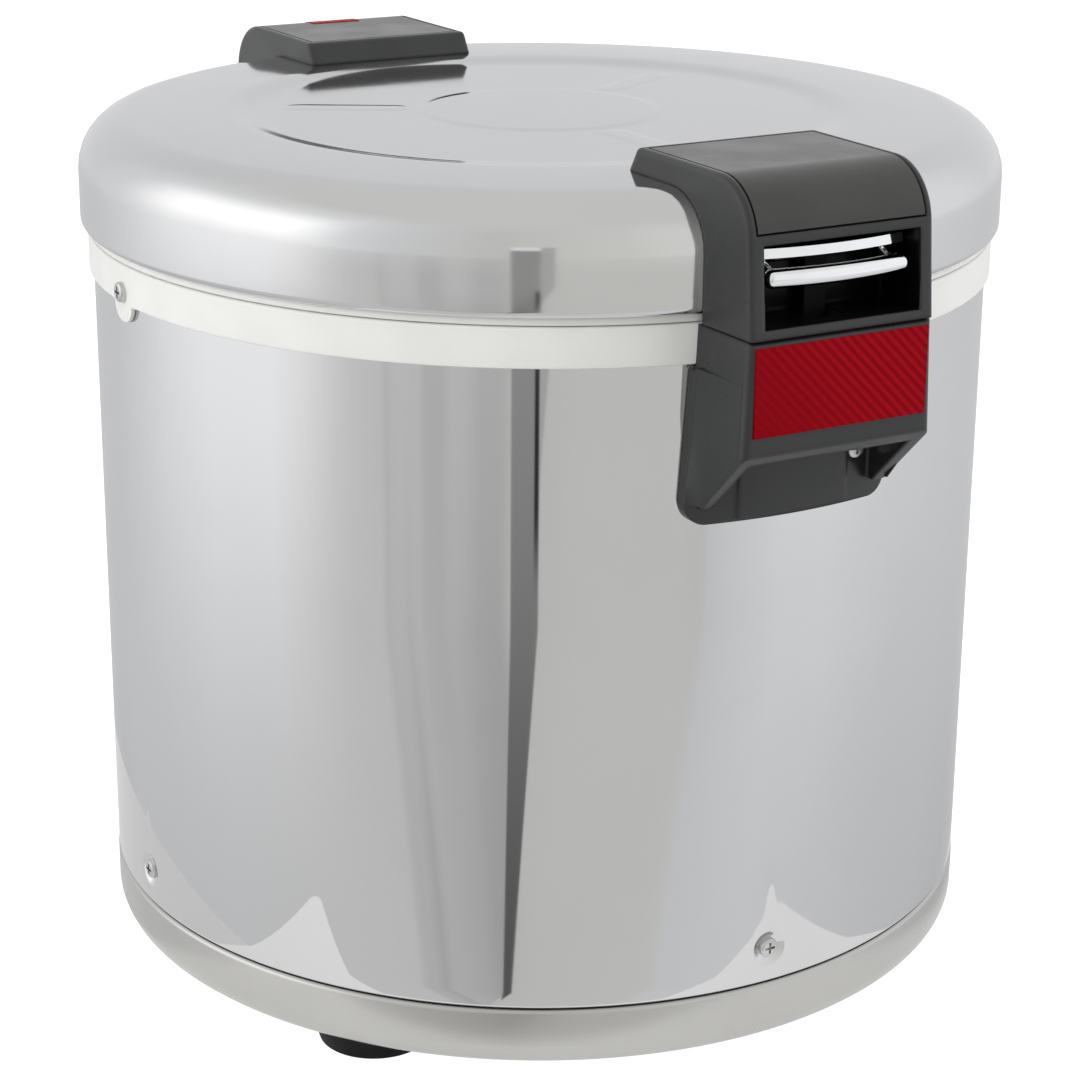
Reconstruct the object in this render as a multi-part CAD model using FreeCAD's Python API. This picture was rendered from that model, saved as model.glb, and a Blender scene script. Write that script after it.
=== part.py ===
# Rice cooker with a hinged, latched lid, as separate solids in millimetres.
# The origin is on the vertical axis, level with the surface that the feet stand on.
# +Z is up, the latch is at the front (-Y) and the hinge is at the rear (+Y).
import FreeCAD
import Part
import math
import os

V = FreeCAD.Vector

# Shared fits
TOUCH = 0.05
SLIP_FIT = 0.1
RUN_FIT = 0.05
PART_FIT = 0.3

# Polished outer shell
SHELL_RADIUS = 198.0
SHELL_WALL = 0.8
WALL_HEIGHT = 275.6

# Base pan and feet
FOOT_HEIGHT = 10.0
FOOT_RADIUS = 27.0
FOOT_TAPER = 3.0
FOOT_EDGE = 1.5
FOOT_SET_IN = 35.0
FOOT_ANGLE = 55.0
FOOT_BORE_DEPTH = 5.0
FOOT_BORE_GAP = 1.7
PAN_HEIGHT = 28.0
PAN_WALL = 1.0
PAN_CORNER = 12.0
PAN_PROUD = 0.3
PAN_UPSTAND = 28.0
SEAM_GAP = 0.6
HATCH_RADIUS = 62.0
HATCH_LAP = 9.0
HATCH_SCREWS = 3
HATCH_SCREW_ANGLE = 270.0
HATCH_VENTS = 8
VENT_LENGTH = 26.0
VENT_WIDTH = 5.0
VENT_CIRCLE = 38.0

# Screws, all the same pan head
SCREW_RADIUS = 2.0
SCREW_HEAD_RADIUS = 4.3
SCREW_HEAD_HEIGHT = 2.4
SCREW_HEAD_ROUND = 1.4
SCREW_LENGTH = 8.0
SCREW_SLOT_WIDTH = 1.1
SCREW_SLOT_LENGTH = 5.0
SCREW_SLOT_DEPTH = 1.4
SHELL_SCREW_RISE = 16.5
DIMPLE_RADIUS = 7.0
DIMPLE_FLOOR_RADIUS = 5.0
DIMPLE_DEPTH = 1.6
DIMPLE_BACK_WALL = 1.0
DISH_OVERRUN = 0.4

# White top collar
COLLAR_HEIGHT = 16.4
COLLAR_SKIRT = 1.8
COLLAR_FIT = 0.2
COLLAR_DECK = 4.0
COLLAR_LIP_WALL = 2.0
COLLAR_LIP_DROP = 10.0
COLLAR_EDGE = 1.0
TAB_HALF_WIDTH = 9.0
TAB_DROP = 8.0
TAB_CORNER = 8.0
COLLAR_SCREW_RISE = 4.9

# Heated liner, pot and heaters
LINER_SPACE = 26.2
LINER_WALL = 0.8
LINER_CORNER = 12.0
LINER_FLANGE = 11.5
UNDERFLOOR = 59.0
POT_SIDE_GAP = 2.0
POT_WALL = 2.0
POT_CORNER = 25.0
POT_FLANGE = 11.0
HEATER_SET_IN = 51.8
HEATER_THICKNESS = 12.0
ELEMENT_SET_IN = 25.0
ELEMENT_RADIUS = 3.8
STUD_RADIUS = 1.5
STUD_DROP = 8.0
STUD_SPACING = 16.0
BAND_THICKNESS = 1.9
BAND_HEIGHT = 40.0
BAND_RISE = 40.0
INSULATION_GAP = 0.4
INSULATION_SHELL_GAP = 3.7
SHIELD_SET_IN = 21.8
SHIELD_WALL = 1.0
POST_HEIGHT = 46.0
POST_RADIUS = 5.0
POST_SET_IN = 20.0
POST_COUNT = 3
POST_FIRST_ANGLE = 30.0
SHIELD_HOLE_RADIUS = 22.0
THERMOSTAT_RADIUS = 9.0
THERMOSTAT_HEIGHT = 6.0
BLADE_WIDTH = 6.3
BLADE_WALL = 0.8
BLADE_REACH = 5.4
FUSE_RADIUS = 2.5
FUSE_LENGTH = 16.0
FUSE_OFFSET = 40.0
TERMINAL_X = -10.0
TERMINAL_WIDTH = 40.0
TERMINAL_DEPTH = 22.0
TERMINAL_HEIGHT = 16.0
LEAD_RADIUS = 1.5
LEAD_BEND = 25.0
LEAD_FLOOR_RISE = 9.0

# Rear panel with the mains inlet and the rocker switch
PANEL_RISE = 72.0
PANEL_HALF_WIDTH = 42.0
PANEL_HALF_HEIGHT = 18.0
PANEL_LAP = 4.5
PANEL_PROUD = 3.5
PANEL_DEPTH = 20.0
INLET_X = -18.0
INLET_HALF_WIDTH = 12.5
INLET_HALF_HEIGHT = 10.0
INLET_DEPTH = 20.0
INLET_PIN_WIDTH = 2.0
INLET_PIN_HEIGHT = 4.0
INLET_PIN_LENGTH = 11.0
INLET_PIN_PITCH = 7.0
INLET_PIN_ROOT = 2.5
ROCKER_X = 24.0
ROCKER_HALF_LENGTH = 9.3
ROCKER_HALF_HEIGHT = 7.2
ROCKER_TILT = 8.0
ROCKER_GAP = 2.0
ROCKER_SIDE_GAP = 0.6
ROCKER_DEPTH = 15.0
ROCKER_AXLE_RADIUS = 1.5
ROCKER_AXLE_REACH = 1.5
ROCKER_SINK = 7.0
ROCKER_RISE = 5.5
ROCKER_WAIST = 4.3
ROCKER_FOOT = 4.0

# Lid
PARTING_GAP = 0.6
LID_STRIP = 2.8
LID_OVERHANG = 5.0
LID_HEIGHT = 46.3
LID_WALL = 0.8
LID_SHOULDER = 22.8
LID_CURL = 3.2
LID_CROWN = 0.6
RING_SET_IN = 66.0
RING_STEP_WIDTH = 19.0
RING_STEP_DEPTH = 2.4
BOSS_RADIUS = 52.0
BOSS_SLOPE = 2.0
BOSS_RISE = 0.9
RIB_COUNT = 3
RIB_INNER_GAP = 8.0
RIB_OUTER_GAP = 10.0
RIB_HALF_WIDTH = 8.0
RIB_CORNER = 7.2
RIB_RISE = 1.0
RIM_FLANGE = 16.0
RIM_FLANGE_THICKNESS = 5.8
RIM_UPSTAND = 9.6
RIM_UPSTAND_WALL = 3.0
RIM_SET_IN = 0.7
GASKET_WIDTH = 9.0
GASKET_HEIGHT = 4.0
INNER_PLATE_WALL = 0.8
INNER_PLATE_RISE = 8.8
INNER_PLATE_SLOPE = 33.3
INNER_PLATE_SCREWS = 6
LID_INSULATION_THICKNESS = 24.0

# Blocks on the lid: the handle at the front and the hinge cover at the rear
BLOCK_HALF_WIDTH = 42.5
BLOCK_RISE = 10.3
BLOCK_LAP = 54.5
BLOCK_BACK_SLOPE = 0.6
BLOCK_BACK_EDGE = 3.0
BLOCK_CORNER = 24.0
BLOCK_SIDE_EDGE = 2.0
BLOCK_OVERHANG = 29.0
BLOCK_LEAN = 5.0
SPLIT_GAP = 0.6
TOP_PANEL_WALL = 2.2
TOP_PANEL_HALF_WIDTH = 38.5
TOP_PANEL_GROOVE = 0.9
TOP_PANEL_BACK = 4.0
TOP_PANEL_DROP = 19.5
BLOCK_SCREW_X = 25.0
BLOCK_SCREW_SET_BACK = 18.0
MARKER_HALF_WIDTH = 12.5
MARKER_LENGTH = 20.0
MARKER_SET_BACK = 28.0
MARKER_WALL = 0.8
MARKER_PROUD = 0.3

# Latch in the handle
WINDOW_HALF_WIDTH = 36.1
WINDOW_HEIGHT = 31.9
WINDOW_SILL = 3.5
POCKET_BACK_WALL = 3.0
LATCH_PIN_RADIUS = 2.0
LATCH_PIN_SEAT = 3.0
LATCH_PIN_BACK = 18.0
LATCH_PIN_BELOW = 6.2
BARREL_RADIUS = 4.0
BARREL_END_GAP = 0.6
BAR_RADIUS = 3.2
BAR_HALF_WIDTH = 30.0
BAR_BOW = 3.0
BAR_FORWARD = 15.0
BAR_BELOW = 8.0
LEVER_ARM_RADIUS = 2.0
LEVER_ARM_X = 26.0
FINGER_PLATE_BACK = 2.0
FINGER_PLATE_RISE = 2.5
FINGER_PLATE_REACH = 9.5
FINGER_PLATE_DROP = 3.5
FINGER_PLATE_WALL = 1.2
SPRING_LENGTH = 5.5
SPRING_WALL = 1.6
SPRING_LEG_RADIUS = 0.7
SPRING_LEG_LENGTH = 14.0
HOOK_HALF_WIDTH = 5.0
HOOK_WALL = 3.0
HOOK_NOSE = 4.3
HOOK_NOSE_HEIGHT = 4.0
HOOK_SWING = 12.0
HOOK_SIDE_GAP = 2.0
KEEPER_HALF_WIDTH = 12.0
KEEPER_WALL = 2.5
KEEPER_BELOW = 5.2
KEEPER_DEPTH = 5.0
KEEPER_GAP = 1.0

# Blocks on the body: the latch bracket at the front and the hinge bracket at the rear
BRACKET_HEIGHT = 81.0
BRACKET_FRONT_HEIGHT = 45.2
BRACKET_TOP_HALF_WIDTH = 42.3
BRACKET_LOW_HALF_WIDTH = 44.0
BRACKET_EDGE = 3.0
BRACKET_FRONT_WALL = 5.3
BRACKET_CHEEK_WALL = 4.0
BRACKET_DECK = 18.0
PLATE_HALF_WIDTH = 48.5
PLATE_TOP_HALF_WIDTH = 44.5
PLATE_WALL = 5.3
PLATE_CORNER = 9.0
PLATE_FOOT = 8.0
PAD_HALF_WIDTH = 26.0
PAD_PROUD = 1.2
PAD_HEIGHT = 34.0
BRACKET_SCREW_X = 31.0
BRACKET_SCREW_RISE = 22.0
LABEL_WIDTH = 80.0
LABEL_HEIGHT = 35.0
LABEL_WALL = 1.0
LABEL_SINK = 0.2
LABEL_BELOW_TOP = 2.2

# Hinge
HINGE_BARREL_RADIUS = 11.0
HINGE_WALL = 2.7
HINGE_AXIS_RISE = 3.0
HINGE_PIN_RADIUS = 3.0
HINGE_PIN_END = 0.5
KNUCKLE_RADIUS = 9.5
KNUCKLE_INNER_X = 20.5
KNUCKLE_OUTER_X = 35.5
KNUCKLE_GAP = 0.7
HINGE_NECK_BACK = 4.0
HINGE_NECK_DEPTH = 10.5
HINGE_DECK = 13.0
COVER_WALL_RISE = 2.0
COVER_CAVITY_RISE = 29.0
HINGE_ARM_RISE = 26.0

# Heights worked out from the sizes above
PAN_FLOOR_Z = FOOT_HEIGHT
SEAM_Z = PAN_FLOOR_Z + PAN_HEIGHT
COLLAR_BOTTOM_Z = SEAM_Z + WALL_HEIGHT
COLLAR_TOP_Z = COLLAR_BOTTOM_Z + COLLAR_HEIGHT
DECK_UNDER_Z = COLLAR_TOP_Z - COLLAR_DECK
FLANGE_SEAT_Z = COLLAR_TOP_Z - LINER_WALL - 2 * SLIP_FIT
LINER_RIM_Z = FLANGE_SEAT_Z + LINER_WALL
POT_RIM_Z = LINER_RIM_Z + POT_WALL
LINER_FLOOR_Z = PAN_FLOOR_Z + UNDERFLOOR
POT_FLOOR_Z = LINER_FLOOR_Z + HEATER_THICKNESS + PART_FIT
SHELL_SCREW_Z = SEAM_Z + SHELL_SCREW_RISE
COLLAR_SCREW_Z = COLLAR_BOTTOM_Z + COLLAR_SCREW_RISE
RIM_BOTTOM_Z = COLLAR_TOP_Z + PARTING_GAP
LID_EDGE_Z = RIM_BOTTOM_Z + LID_STRIP
LID_TOP_Z = LID_EDGE_Z + LID_HEIGHT
RIM_FLANGE_Z = RIM_BOTTOM_Z + RIM_FLANGE_THICKNESS
PLATE_TOP_Z = RIM_FLANGE_Z + INNER_PLATE_RISE + INNER_PLATE_WALL
BLOCK_TOP_Z = LID_TOP_Z + BLOCK_RISE
BLOCK_BOTTOM_Z = COLLAR_TOP_Z + SPLIT_GAP / 2
BRACKET_TOP_Z = COLLAR_TOP_Z - SPLIT_GAP / 2
BRACKET_BOTTOM_Z = COLLAR_TOP_Z - BRACKET_HEIGHT
BRACKET_FRONT_Z = COLLAR_TOP_Z - BRACKET_FRONT_HEIGHT
BRACKET_SCREW_Z = BRACKET_BOTTOM_Z + BRACKET_SCREW_RISE
WINDOW_LOW_Z = BLOCK_BOTTOM_Z + WINDOW_SILL
WINDOW_HIGH_Z = WINDOW_LOW_Z + WINDOW_HEIGHT
LATCH_Z = WINDOW_HIGH_Z - LATCH_PIN_BELOW
HINGE_Z = COLLAR_TOP_Z + HINGE_AXIS_RISE
PANEL_Z = SEAM_Z + PANEL_RISE

# Distances from the vertical axis worked out from the sizes above
PAN_RADIUS = SHELL_RADIUS + PAN_PROUD
FOOT_RING_RADIUS = SHELL_RADIUS - FOOT_SET_IN
SHELL_BORE = SHELL_RADIUS - SHELL_WALL
BOSS_BACK = SHELL_RADIUS - DIMPLE_DEPTH - DIMPLE_BACK_WALL
UPSTAND_RADIUS = BOSS_BACK - TOUCH
COLLAR_BORE = SHELL_RADIUS + COLLAR_FIT
COLLAR_RADIUS = COLLAR_BORE + COLLAR_SKIRT
LINER_RADIUS = SHELL_RADIUS - LINER_SPACE
LINER_BORE = LINER_RADIUS - LINER_WALL
LINER_FLANGE_RADIUS = LINER_RADIUS + LINER_FLANGE
HEATER_RADIUS = LINER_RADIUS - HEATER_SET_IN
ELEMENT_CIRCLE = HEATER_RADIUS - ELEMENT_SET_IN
SHIELD_RADIUS = LINER_RADIUS - SHIELD_SET_IN
POST_CIRCLE = SHIELD_RADIUS - POST_SET_IN
POT_RADIUS = LINER_BORE - POT_SIDE_GAP
POT_FLANGE_RADIUS = POT_RADIUS + POT_FLANGE
LID_RADIUS = SHELL_RADIUS + LID_OVERHANG
RING_STEP_OUTER = LID_RADIUS - RING_SET_IN
RING_STEP_INNER = RING_STEP_OUTER - RING_STEP_WIDTH
RIB_INNER = BOSS_RADIUS + RIB_INNER_GAP
RIB_OUTER = RING_STEP_INNER - RIB_OUTER_GAP
BLOCK_BACK = LID_RADIUS - BLOCK_LAP
BLOCK_REACH = LID_RADIUS + BLOCK_OVERHANG
RIM_RADIUS = COLLAR_RADIUS - RIM_SET_IN
RIM_BORE = RIM_RADIUS - RIM_FLANGE
INNER_PLATE_FLAT = RIM_BORE - INNER_PLATE_SLOPE
INSULATION_INNER = LINER_RADIUS + BAND_THICKNESS + INSULATION_GAP
INSULATION_OUTER = UPSTAND_RADIUS - PAN_WALL - INSULATION_SHELL_GAP / 2
PLATE_RADIUS = SHELL_RADIUS + PLATE_WALL
BRACKET_HEAD_X = BRACKET_SCREW_X + SCREW_HEAD_RADIUS
BRACKET_SCREW_SEAT = math.sqrt(PLATE_RADIUS ** 2 - BRACKET_HEAD_X ** 2) - PART_FIT
BRACKET_REACH = BLOCK_REACH - LABEL_SINK
LATCH_R = BLOCK_REACH - LATCH_PIN_BACK
POCKET_R = LID_RADIUS + POCKET_BACK_WALL
HOOK_R = LATCH_R - BARREL_RADIUS / 2
KEEPER_R = HOOK_R - HOOK_WALL - KEEPER_GAP
HOOK_LOW_Z = COLLAR_TOP_Z - KEEPER_BELOW - KEEPER_WALL - PART_FIT - HOOK_NOSE_HEIGHT
HINGE_REACH = BRACKET_REACH + LABEL_WALL
HINGE_Y = HINGE_REACH - HINGE_WALL - PART_FIT - HINGE_BARREL_RADIUS
STUD_X = (TERMINAL_X - STUD_SPACING / 2, TERMINAL_X + STUD_SPACING / 2)
FAR = 2 * BLOCK_REACH


# Shape helpers
def rounded_outline(corners):
    """Closed outline in the XZ plane whose corners (x, z, radius) are rounded by tangent arcs."""
    count = len(corners)
    stops = []
    for i in range(count):
        here = V(corners[i][0], 0, corners[i][1])
        radius = corners[i][2] if len(corners[i]) == 3 else 0.0
        if radius == 0.0:
            stops.append((here, None, here))
            continue
        last = corners[i - 1]
        next_one = corners[(i + 1) % count]
        back = V(last[0], 0, last[1]).sub(here).normalize()
        ahead = V(next_one[0], 0, next_one[1]).sub(here).normalize()
        half_angle = back.getAngle(ahead) / 2
        reach = radius / math.tan(half_angle)
        inward = V(back.x + ahead.x, 0, back.z + ahead.z).normalize()
        depth = radius / math.sin(half_angle) - radius
        stops.append((here + back * reach, here + inward * depth, here + ahead * reach))
    edges = []
    for i in range(count):
        start, middle, end = stops[i]
        if middle is not None:
            edges.append(Part.Arc(start, middle, end).toShape())
        following = stops[(i + 1) % count][0]
        if following.sub(end).Length > 1e-6:
            edges.append(Part.makeLine(end, following))
    return Part.Wire(edges)


def revolved(corners):
    """Ring or disc made by turning an outline of (radius, height) corners about the vertical axis."""
    return Part.Face(rounded_outline(corners)).revolve(V(0, 0, 0), V(0, 0, 1), 360)


def across(corners, half_width):
    """Prism along X of a side outline given as (distance towards +Y, height) corners."""
    face = Part.Face(rounded_outline(corners))
    face.rotate(V(0, 0, 0), V(0, 0, 1), 90)
    face.translate(V(-half_width, 0, 0))
    return face.extrude(V(2 * half_width, 0, 0))


def facing(corners, y_from, y_to):
    """Prism along Y of a front outline given as (x, height) corners."""
    face = Part.Face(rounded_outline(corners))
    face.translate(V(0, y_from, 0))
    return face.extrude(V(0, y_to - y_from, 0))


def box(xs, ys, zs):
    """Box between two x, two y and two z values."""
    return Part.makeBox(xs[1] - xs[0], ys[1] - ys[0], zs[1] - zs[0], V(xs[0], ys[0], zs[0]))


def column(radius, low, high, x=0.0, y=0.0):
    """Upright cylinder between two heights."""
    return Part.makeCylinder(radius, high - low, V(x, y, low))


def rod(start, end, radius):
    """Cylinder between two points."""
    run = end.sub(start)
    return Part.makeCylinder(radius, run.Length, start, run)


def crossbar(radius, x_from, x_to, y, z):
    """Cylinder along X."""
    return rod(V(x_from, y, z), V(x_to, y, z), radius)


def tube(inner, outer, low, high):
    """Upright round sleeve."""
    return column(outer, low, high).cut(column(inner, low, high))


def turned(shape, angle):
    """Copy turned about the vertical axis."""
    copy = shape.copy()
    copy.rotate(V(0, 0, 0), V(0, 0, 1), angle)
    return copy


def to_front(shape):
    """Copy of a piece drawn at the rear, moved to the front."""
    return turned(shape, 180)


def outward(shape, angle, radius, height):
    """Copy of a piece drawn along +Z, pointed away from the axis at an angle from the rear."""
    copy = shape.copy()
    copy.rotate(V(0, 0, 0), V(1, 0, 0), -90)
    copy.translate(V(0, radius, height))
    return turned(copy, angle)


def downward(shape, x, y, z):
    """Copy of a piece drawn along +Z, turned to point down and moved."""
    copy = shape.copy()
    copy.rotate(V(0, 0, 0), V(1, 0, 0), 180)
    copy.translate(V(x, y, z))
    return copy


def with_round_edges(shape, keep, radius):
    """Shape with the edges that keep() accepts rounded."""
    chosen = [edge for edge in shape.Edges if keep(edge)]
    return shape.makeFillet(radius, chosen)


def screw():
    """Pan-head screw with a cross recess: seat at z = 0, head above, shank below."""
    head = column(SCREW_HEAD_RADIUS, 0, SCREW_HEAD_HEIGHT)
    head = with_round_edges(head, lambda edge: edge.BoundBox.ZMin > SCREW_HEAD_HEIGHT - TOUCH,
                            SCREW_HEAD_ROUND)
    half_slot = SCREW_SLOT_WIDTH / 2
    half_length = SCREW_SLOT_LENGTH / 2
    depth = (SCREW_HEAD_HEIGHT - SCREW_SLOT_DEPTH, SCREW_HEAD_HEIGHT)
    for spread in ((half_slot, half_length), (half_length, half_slot)):
        head = head.cut(box((-spread[0], spread[0]), (-spread[1], spread[1]), depth))
    return head.fuse(column(SCREW_RADIUS, -SCREW_LENGTH, 0)).removeSplitter()


def screw_hole(length):
    """Clearance for a screw's shank, long enough to pass through a wall."""
    return column(SCREW_RADIUS + SLIP_FIT, -length, length)


def ring_angles(count, first=0.0):
    """Angles of copies spread evenly about the vertical axis."""
    return [first + 360.0 * i / count for i in range(count)]


# Base
def foot_places():
    """Name and centre of each foot."""
    across_x = FOOT_RING_RADIUS * math.sin(math.radians(FOOT_ANGLE))
    along_y = FOOT_RING_RADIUS * math.cos(math.radians(FOOT_ANGLE))
    return {
        "foot_front_left": (-across_x, -along_y),
        "foot_front_right": (across_x, -along_y),
        "foot_rear_left": (-across_x, along_y),
        "foot_rear_right": (across_x, along_y),
    }


def foot(x, y):
    """Tapered rubber foot with a counterbore for its screw."""
    pad = Part.makeCone(FOOT_RADIUS - FOOT_TAPER, FOOT_RADIUS, FOOT_HEIGHT, V(x, y, 0))
    pad = with_round_edges(pad, lambda edge: edge.BoundBox.ZMax < FOOT_EDGE, FOOT_EDGE)
    pad = pad.cut(column(SCREW_HEAD_RADIUS + FOOT_BORE_GAP, 0, FOOT_BORE_DEPTH, x, y))
    return pad.cut(column(SCREW_RADIUS + SLIP_FIT, 0, FOOT_HEIGHT, x, y))


def hatch_screw_places():
    """Centres of the screws that hold the bottom cover."""
    circle = HATCH_RADIUS + HATCH_LAP / 2
    angles = [math.radians(angle) for angle in ring_angles(HATCH_SCREWS, HATCH_SCREW_ANGLE)]
    return [(circle * math.cos(angle), circle * math.sin(angle)) for angle in angles]


def base_pan():
    """Pressed pan with a rounded edge, and an upstand inside the shell that its screws bite."""
    inner_upstand = UPSTAND_RADIUS - PAN_WALL
    pan = revolved([
        (HATCH_RADIUS, PAN_FLOOR_Z),
        (PAN_RADIUS, PAN_FLOOR_Z, PAN_CORNER),
        (PAN_RADIUS, SEAM_Z),
        (UPSTAND_RADIUS, SEAM_Z),
        (UPSTAND_RADIUS, SEAM_Z + PAN_UPSTAND),
        (inner_upstand, SEAM_Z + PAN_UPSTAND),
        (inner_upstand, SEAM_Z - PAN_WALL),
        (PAN_RADIUS - PAN_WALL, SEAM_Z - PAN_WALL),
        (PAN_RADIUS - PAN_WALL, PAN_FLOOR_Z + PAN_WALL, PAN_CORNER - PAN_WALL),
        (HATCH_RADIUS, PAN_FLOOR_Z + PAN_WALL),
    ])
    for x, y in list(foot_places().values()) + hatch_screw_places():
        pan = pan.cut(column(SCREW_RADIUS + SLIP_FIT, 0, SEAM_Z - PAN_WALL, x, y))
    for angle in ring_angles(4):
        pan = pan.cut(outward(screw_hole(SCREW_LENGTH), angle, UPSTAND_RADIUS, SHELL_SCREW_Z))
    return pan


def bottom_cover():
    """Round service plate under the pan, with vent slots round its middle."""
    plate = column(HATCH_RADIUS + HATCH_LAP, PAN_FLOOR_Z - PAN_WALL, PAN_FLOOR_Z)
    for x, y in hatch_screw_places():
        plate = plate.cut(column(SCREW_RADIUS + SLIP_FIT, 0, PAN_FLOOR_Z, x, y))
    slot = box((VENT_CIRCLE - VENT_LENGTH / 2, VENT_CIRCLE + VENT_LENGTH / 2),
               (-VENT_WIDTH / 2, VENT_WIDTH / 2), (0, PAN_FLOOR_Z))
    for angle in ring_angles(HATCH_VENTS, 180.0 / HATCH_VENTS):
        plate = plate.cut(turned(slot, angle))
    return plate


def bottom_cover_screws():
    """Screws that hold the bottom cover, driven from below."""
    seat = PAN_FLOOR_Z - PAN_WALL
    return Part.makeCompound([downward(screw(), x, y, seat) for x, y in hatch_screw_places()])


def foot_screws():
    """Screws up through the feet into the pan."""
    return Part.makeCompound([downward(screw(), x, y, FOOT_BORE_DEPTH) for x, y in foot_places().values()])


# Shell and collar
def bracket_screw_places():
    """Angle and x of the screws through both brackets."""
    return [(angle, side * BRACKET_SCREW_X) for angle in (0, 180) for side in (-1, 1)]


def outer_shell():
    """Polished wall with a dimple at each base screw and a cut-out for the rear panel."""
    shell = tube(SHELL_BORE, SHELL_RADIUS, SEAM_Z + SEAM_GAP, DECK_UNDER_Z - SLIP_FIT)
    slope = (DIMPLE_RADIUS - DIMPLE_FLOOR_RADIUS) / DIMPLE_DEPTH
    mouth = DIMPLE_RADIUS + slope * DISH_OVERRUN
    dish = Part.makeCone(DIMPLE_FLOOR_RADIUS, mouth, DIMPLE_DEPTH + DISH_OVERRUN, V(0, 0, -DIMPLE_DEPTH))
    boss = column(DIMPLE_RADIUS + DIMPLE_BACK_WALL, BOSS_BACK - SHELL_RADIUS, -SHELL_WALL / 2)
    for angle in ring_angles(4):
        shell = shell.fuse(outward(boss, angle, SHELL_RADIUS, SHELL_SCREW_Z))
        shell = shell.cut(outward(dish, angle, SHELL_RADIUS, SHELL_SCREW_Z))
        shell = shell.cut(outward(screw_hole(SCREW_LENGTH), angle, SHELL_RADIUS, SHELL_SCREW_Z))
    for angle in (90, -90):
        shell = shell.cut(outward(screw_hole(SCREW_LENGTH), angle, SHELL_RADIUS, COLLAR_SCREW_Z))
    for angle, x in bracket_screw_places():
        hole = outward(screw_hole(2 * LINER_SPACE), 0, SHELL_RADIUS, BRACKET_SCREW_Z)
        hole.translate(V(x, 0, 0))
        shell = shell.cut(turned(hole, angle))
    return shell.cut(panel_opening(SLIP_FIT))


def shell_screws():
    """Screws in the dimples, through the shell into the pan's upstand."""
    seat = SHELL_RADIUS - DIMPLE_DEPTH
    return Part.makeCompound([outward(screw(), angle, seat, SHELL_SCREW_Z) for angle in ring_angles(4)])


def top_collar():
    """White ring over the top of the shell, with a deck for the liner and two screw tabs."""
    lip_bore = LINER_RADIUS + COLLAR_FIT
    lip_outer = lip_bore + COLLAR_LIP_WALL
    recess = LINER_FLANGE_RADIUS + COLLAR_FIT
    ring = revolved([
        (COLLAR_BORE, COLLAR_BOTTOM_Z),
        (COLLAR_RADIUS, COLLAR_BOTTOM_Z),
        (COLLAR_RADIUS, COLLAR_TOP_Z, COLLAR_EDGE),
        (recess, COLLAR_TOP_Z),
        (recess, FLANGE_SEAT_Z),
        (lip_bore, FLANGE_SEAT_Z),
        (lip_bore, COLLAR_TOP_Z - COLLAR_LIP_DROP),
        (lip_outer, COLLAR_TOP_Z - COLLAR_LIP_DROP),
        (lip_outer, DECK_UNDER_Z),
        (COLLAR_BORE, DECK_UNDER_Z),
    ])
    tab_low = COLLAR_BOTTOM_Z - TAB_DROP
    tab = facing([
        (-TAB_HALF_WIDTH, COLLAR_BOTTOM_Z + COLLAR_SCREW_RISE),
        (-TAB_HALF_WIDTH, tab_low, TAB_CORNER),
        (TAB_HALF_WIDTH, tab_low, TAB_CORNER),
        (TAB_HALF_WIDTH, COLLAR_BOTTOM_Z + COLLAR_SCREW_RISE),
    ], 0, FAR)
    skirt = tube(COLLAR_BORE, COLLAR_RADIUS, tab_low, COLLAR_TOP_Z - COLLAR_EDGE)
    for angle in (90, -90):
        ring = ring.fuse(skirt.common(turned(tab, angle)))
        ring = ring.cut(outward(screw_hole(SCREW_LENGTH), angle, COLLAR_RADIUS, COLLAR_SCREW_Z))
    return ring.removeSplitter()


def collar_screws():
    """Screws through the collar's tabs."""
    return Part.makeCompound([outward(screw(), angle, COLLAR_RADIUS, COLLAR_SCREW_Z) for angle in (90, -90)])


# Liner, pot and heaters
def stud_places():
    """Where the heater's two terminal studs come down."""
    return [(x, math.sqrt(ELEMENT_CIRCLE ** 2 - x ** 2)) for x in STUD_X]


def inner_liner():
    """Thin heated tank that hangs in the collar by its flange."""
    liner = revolved([
        (0, LINER_FLOOR_Z - LINER_WALL),
        (LINER_RADIUS, LINER_FLOOR_Z - LINER_WALL, LINER_CORNER),
        (LINER_RADIUS, FLANGE_SEAT_Z),
        (LINER_FLANGE_RADIUS, FLANGE_SEAT_Z),
        (LINER_FLANGE_RADIUS, LINER_RIM_Z),
        (LINER_BORE, LINER_RIM_Z),
        (LINER_BORE, LINER_FLOOR_Z, LINER_CORNER - LINER_WALL),
        (0, LINER_FLOOR_Z),
    ])
    for x, y in stud_places():
        liner = liner.cut(column(STUD_RADIUS + PART_FIT, PAN_FLOOR_Z, LINER_FLOOR_Z, x, y))
    return liner


def inner_pot():
    """Rice pot with a flat rim, hung in the liner just clear of the heater plate."""
    return revolved([
        (0, POT_FLOOR_Z),
        (POT_RADIUS, POT_FLOOR_Z, POT_CORNER),
        (POT_RADIUS, LINER_RIM_Z),
        (POT_FLANGE_RADIUS, LINER_RIM_Z),
        (POT_FLANGE_RADIUS, POT_RIM_Z),
        (POT_RADIUS - POT_WALL, POT_RIM_Z),
        (POT_RADIUS - POT_WALL, POT_FLOOR_Z + POT_WALL, POT_CORNER - POT_WALL),
        (0, POT_FLOOR_Z + POT_WALL),
    ])


def heater_plate():
    """Cast plate on the liner's floor, with a channel underneath for the element."""
    groove = ELEMENT_RADIUS + PART_FIT
    channel = tube(ELEMENT_CIRCLE - groove, ELEMENT_CIRCLE + groove, LINER_FLOOR_Z,
                   LINER_FLOOR_Z + 2 * groove)
    return column(HEATER_RADIUS, LINER_FLOOR_Z, LINER_FLOOR_Z + HEATER_THICKNESS).cut(channel)


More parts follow.
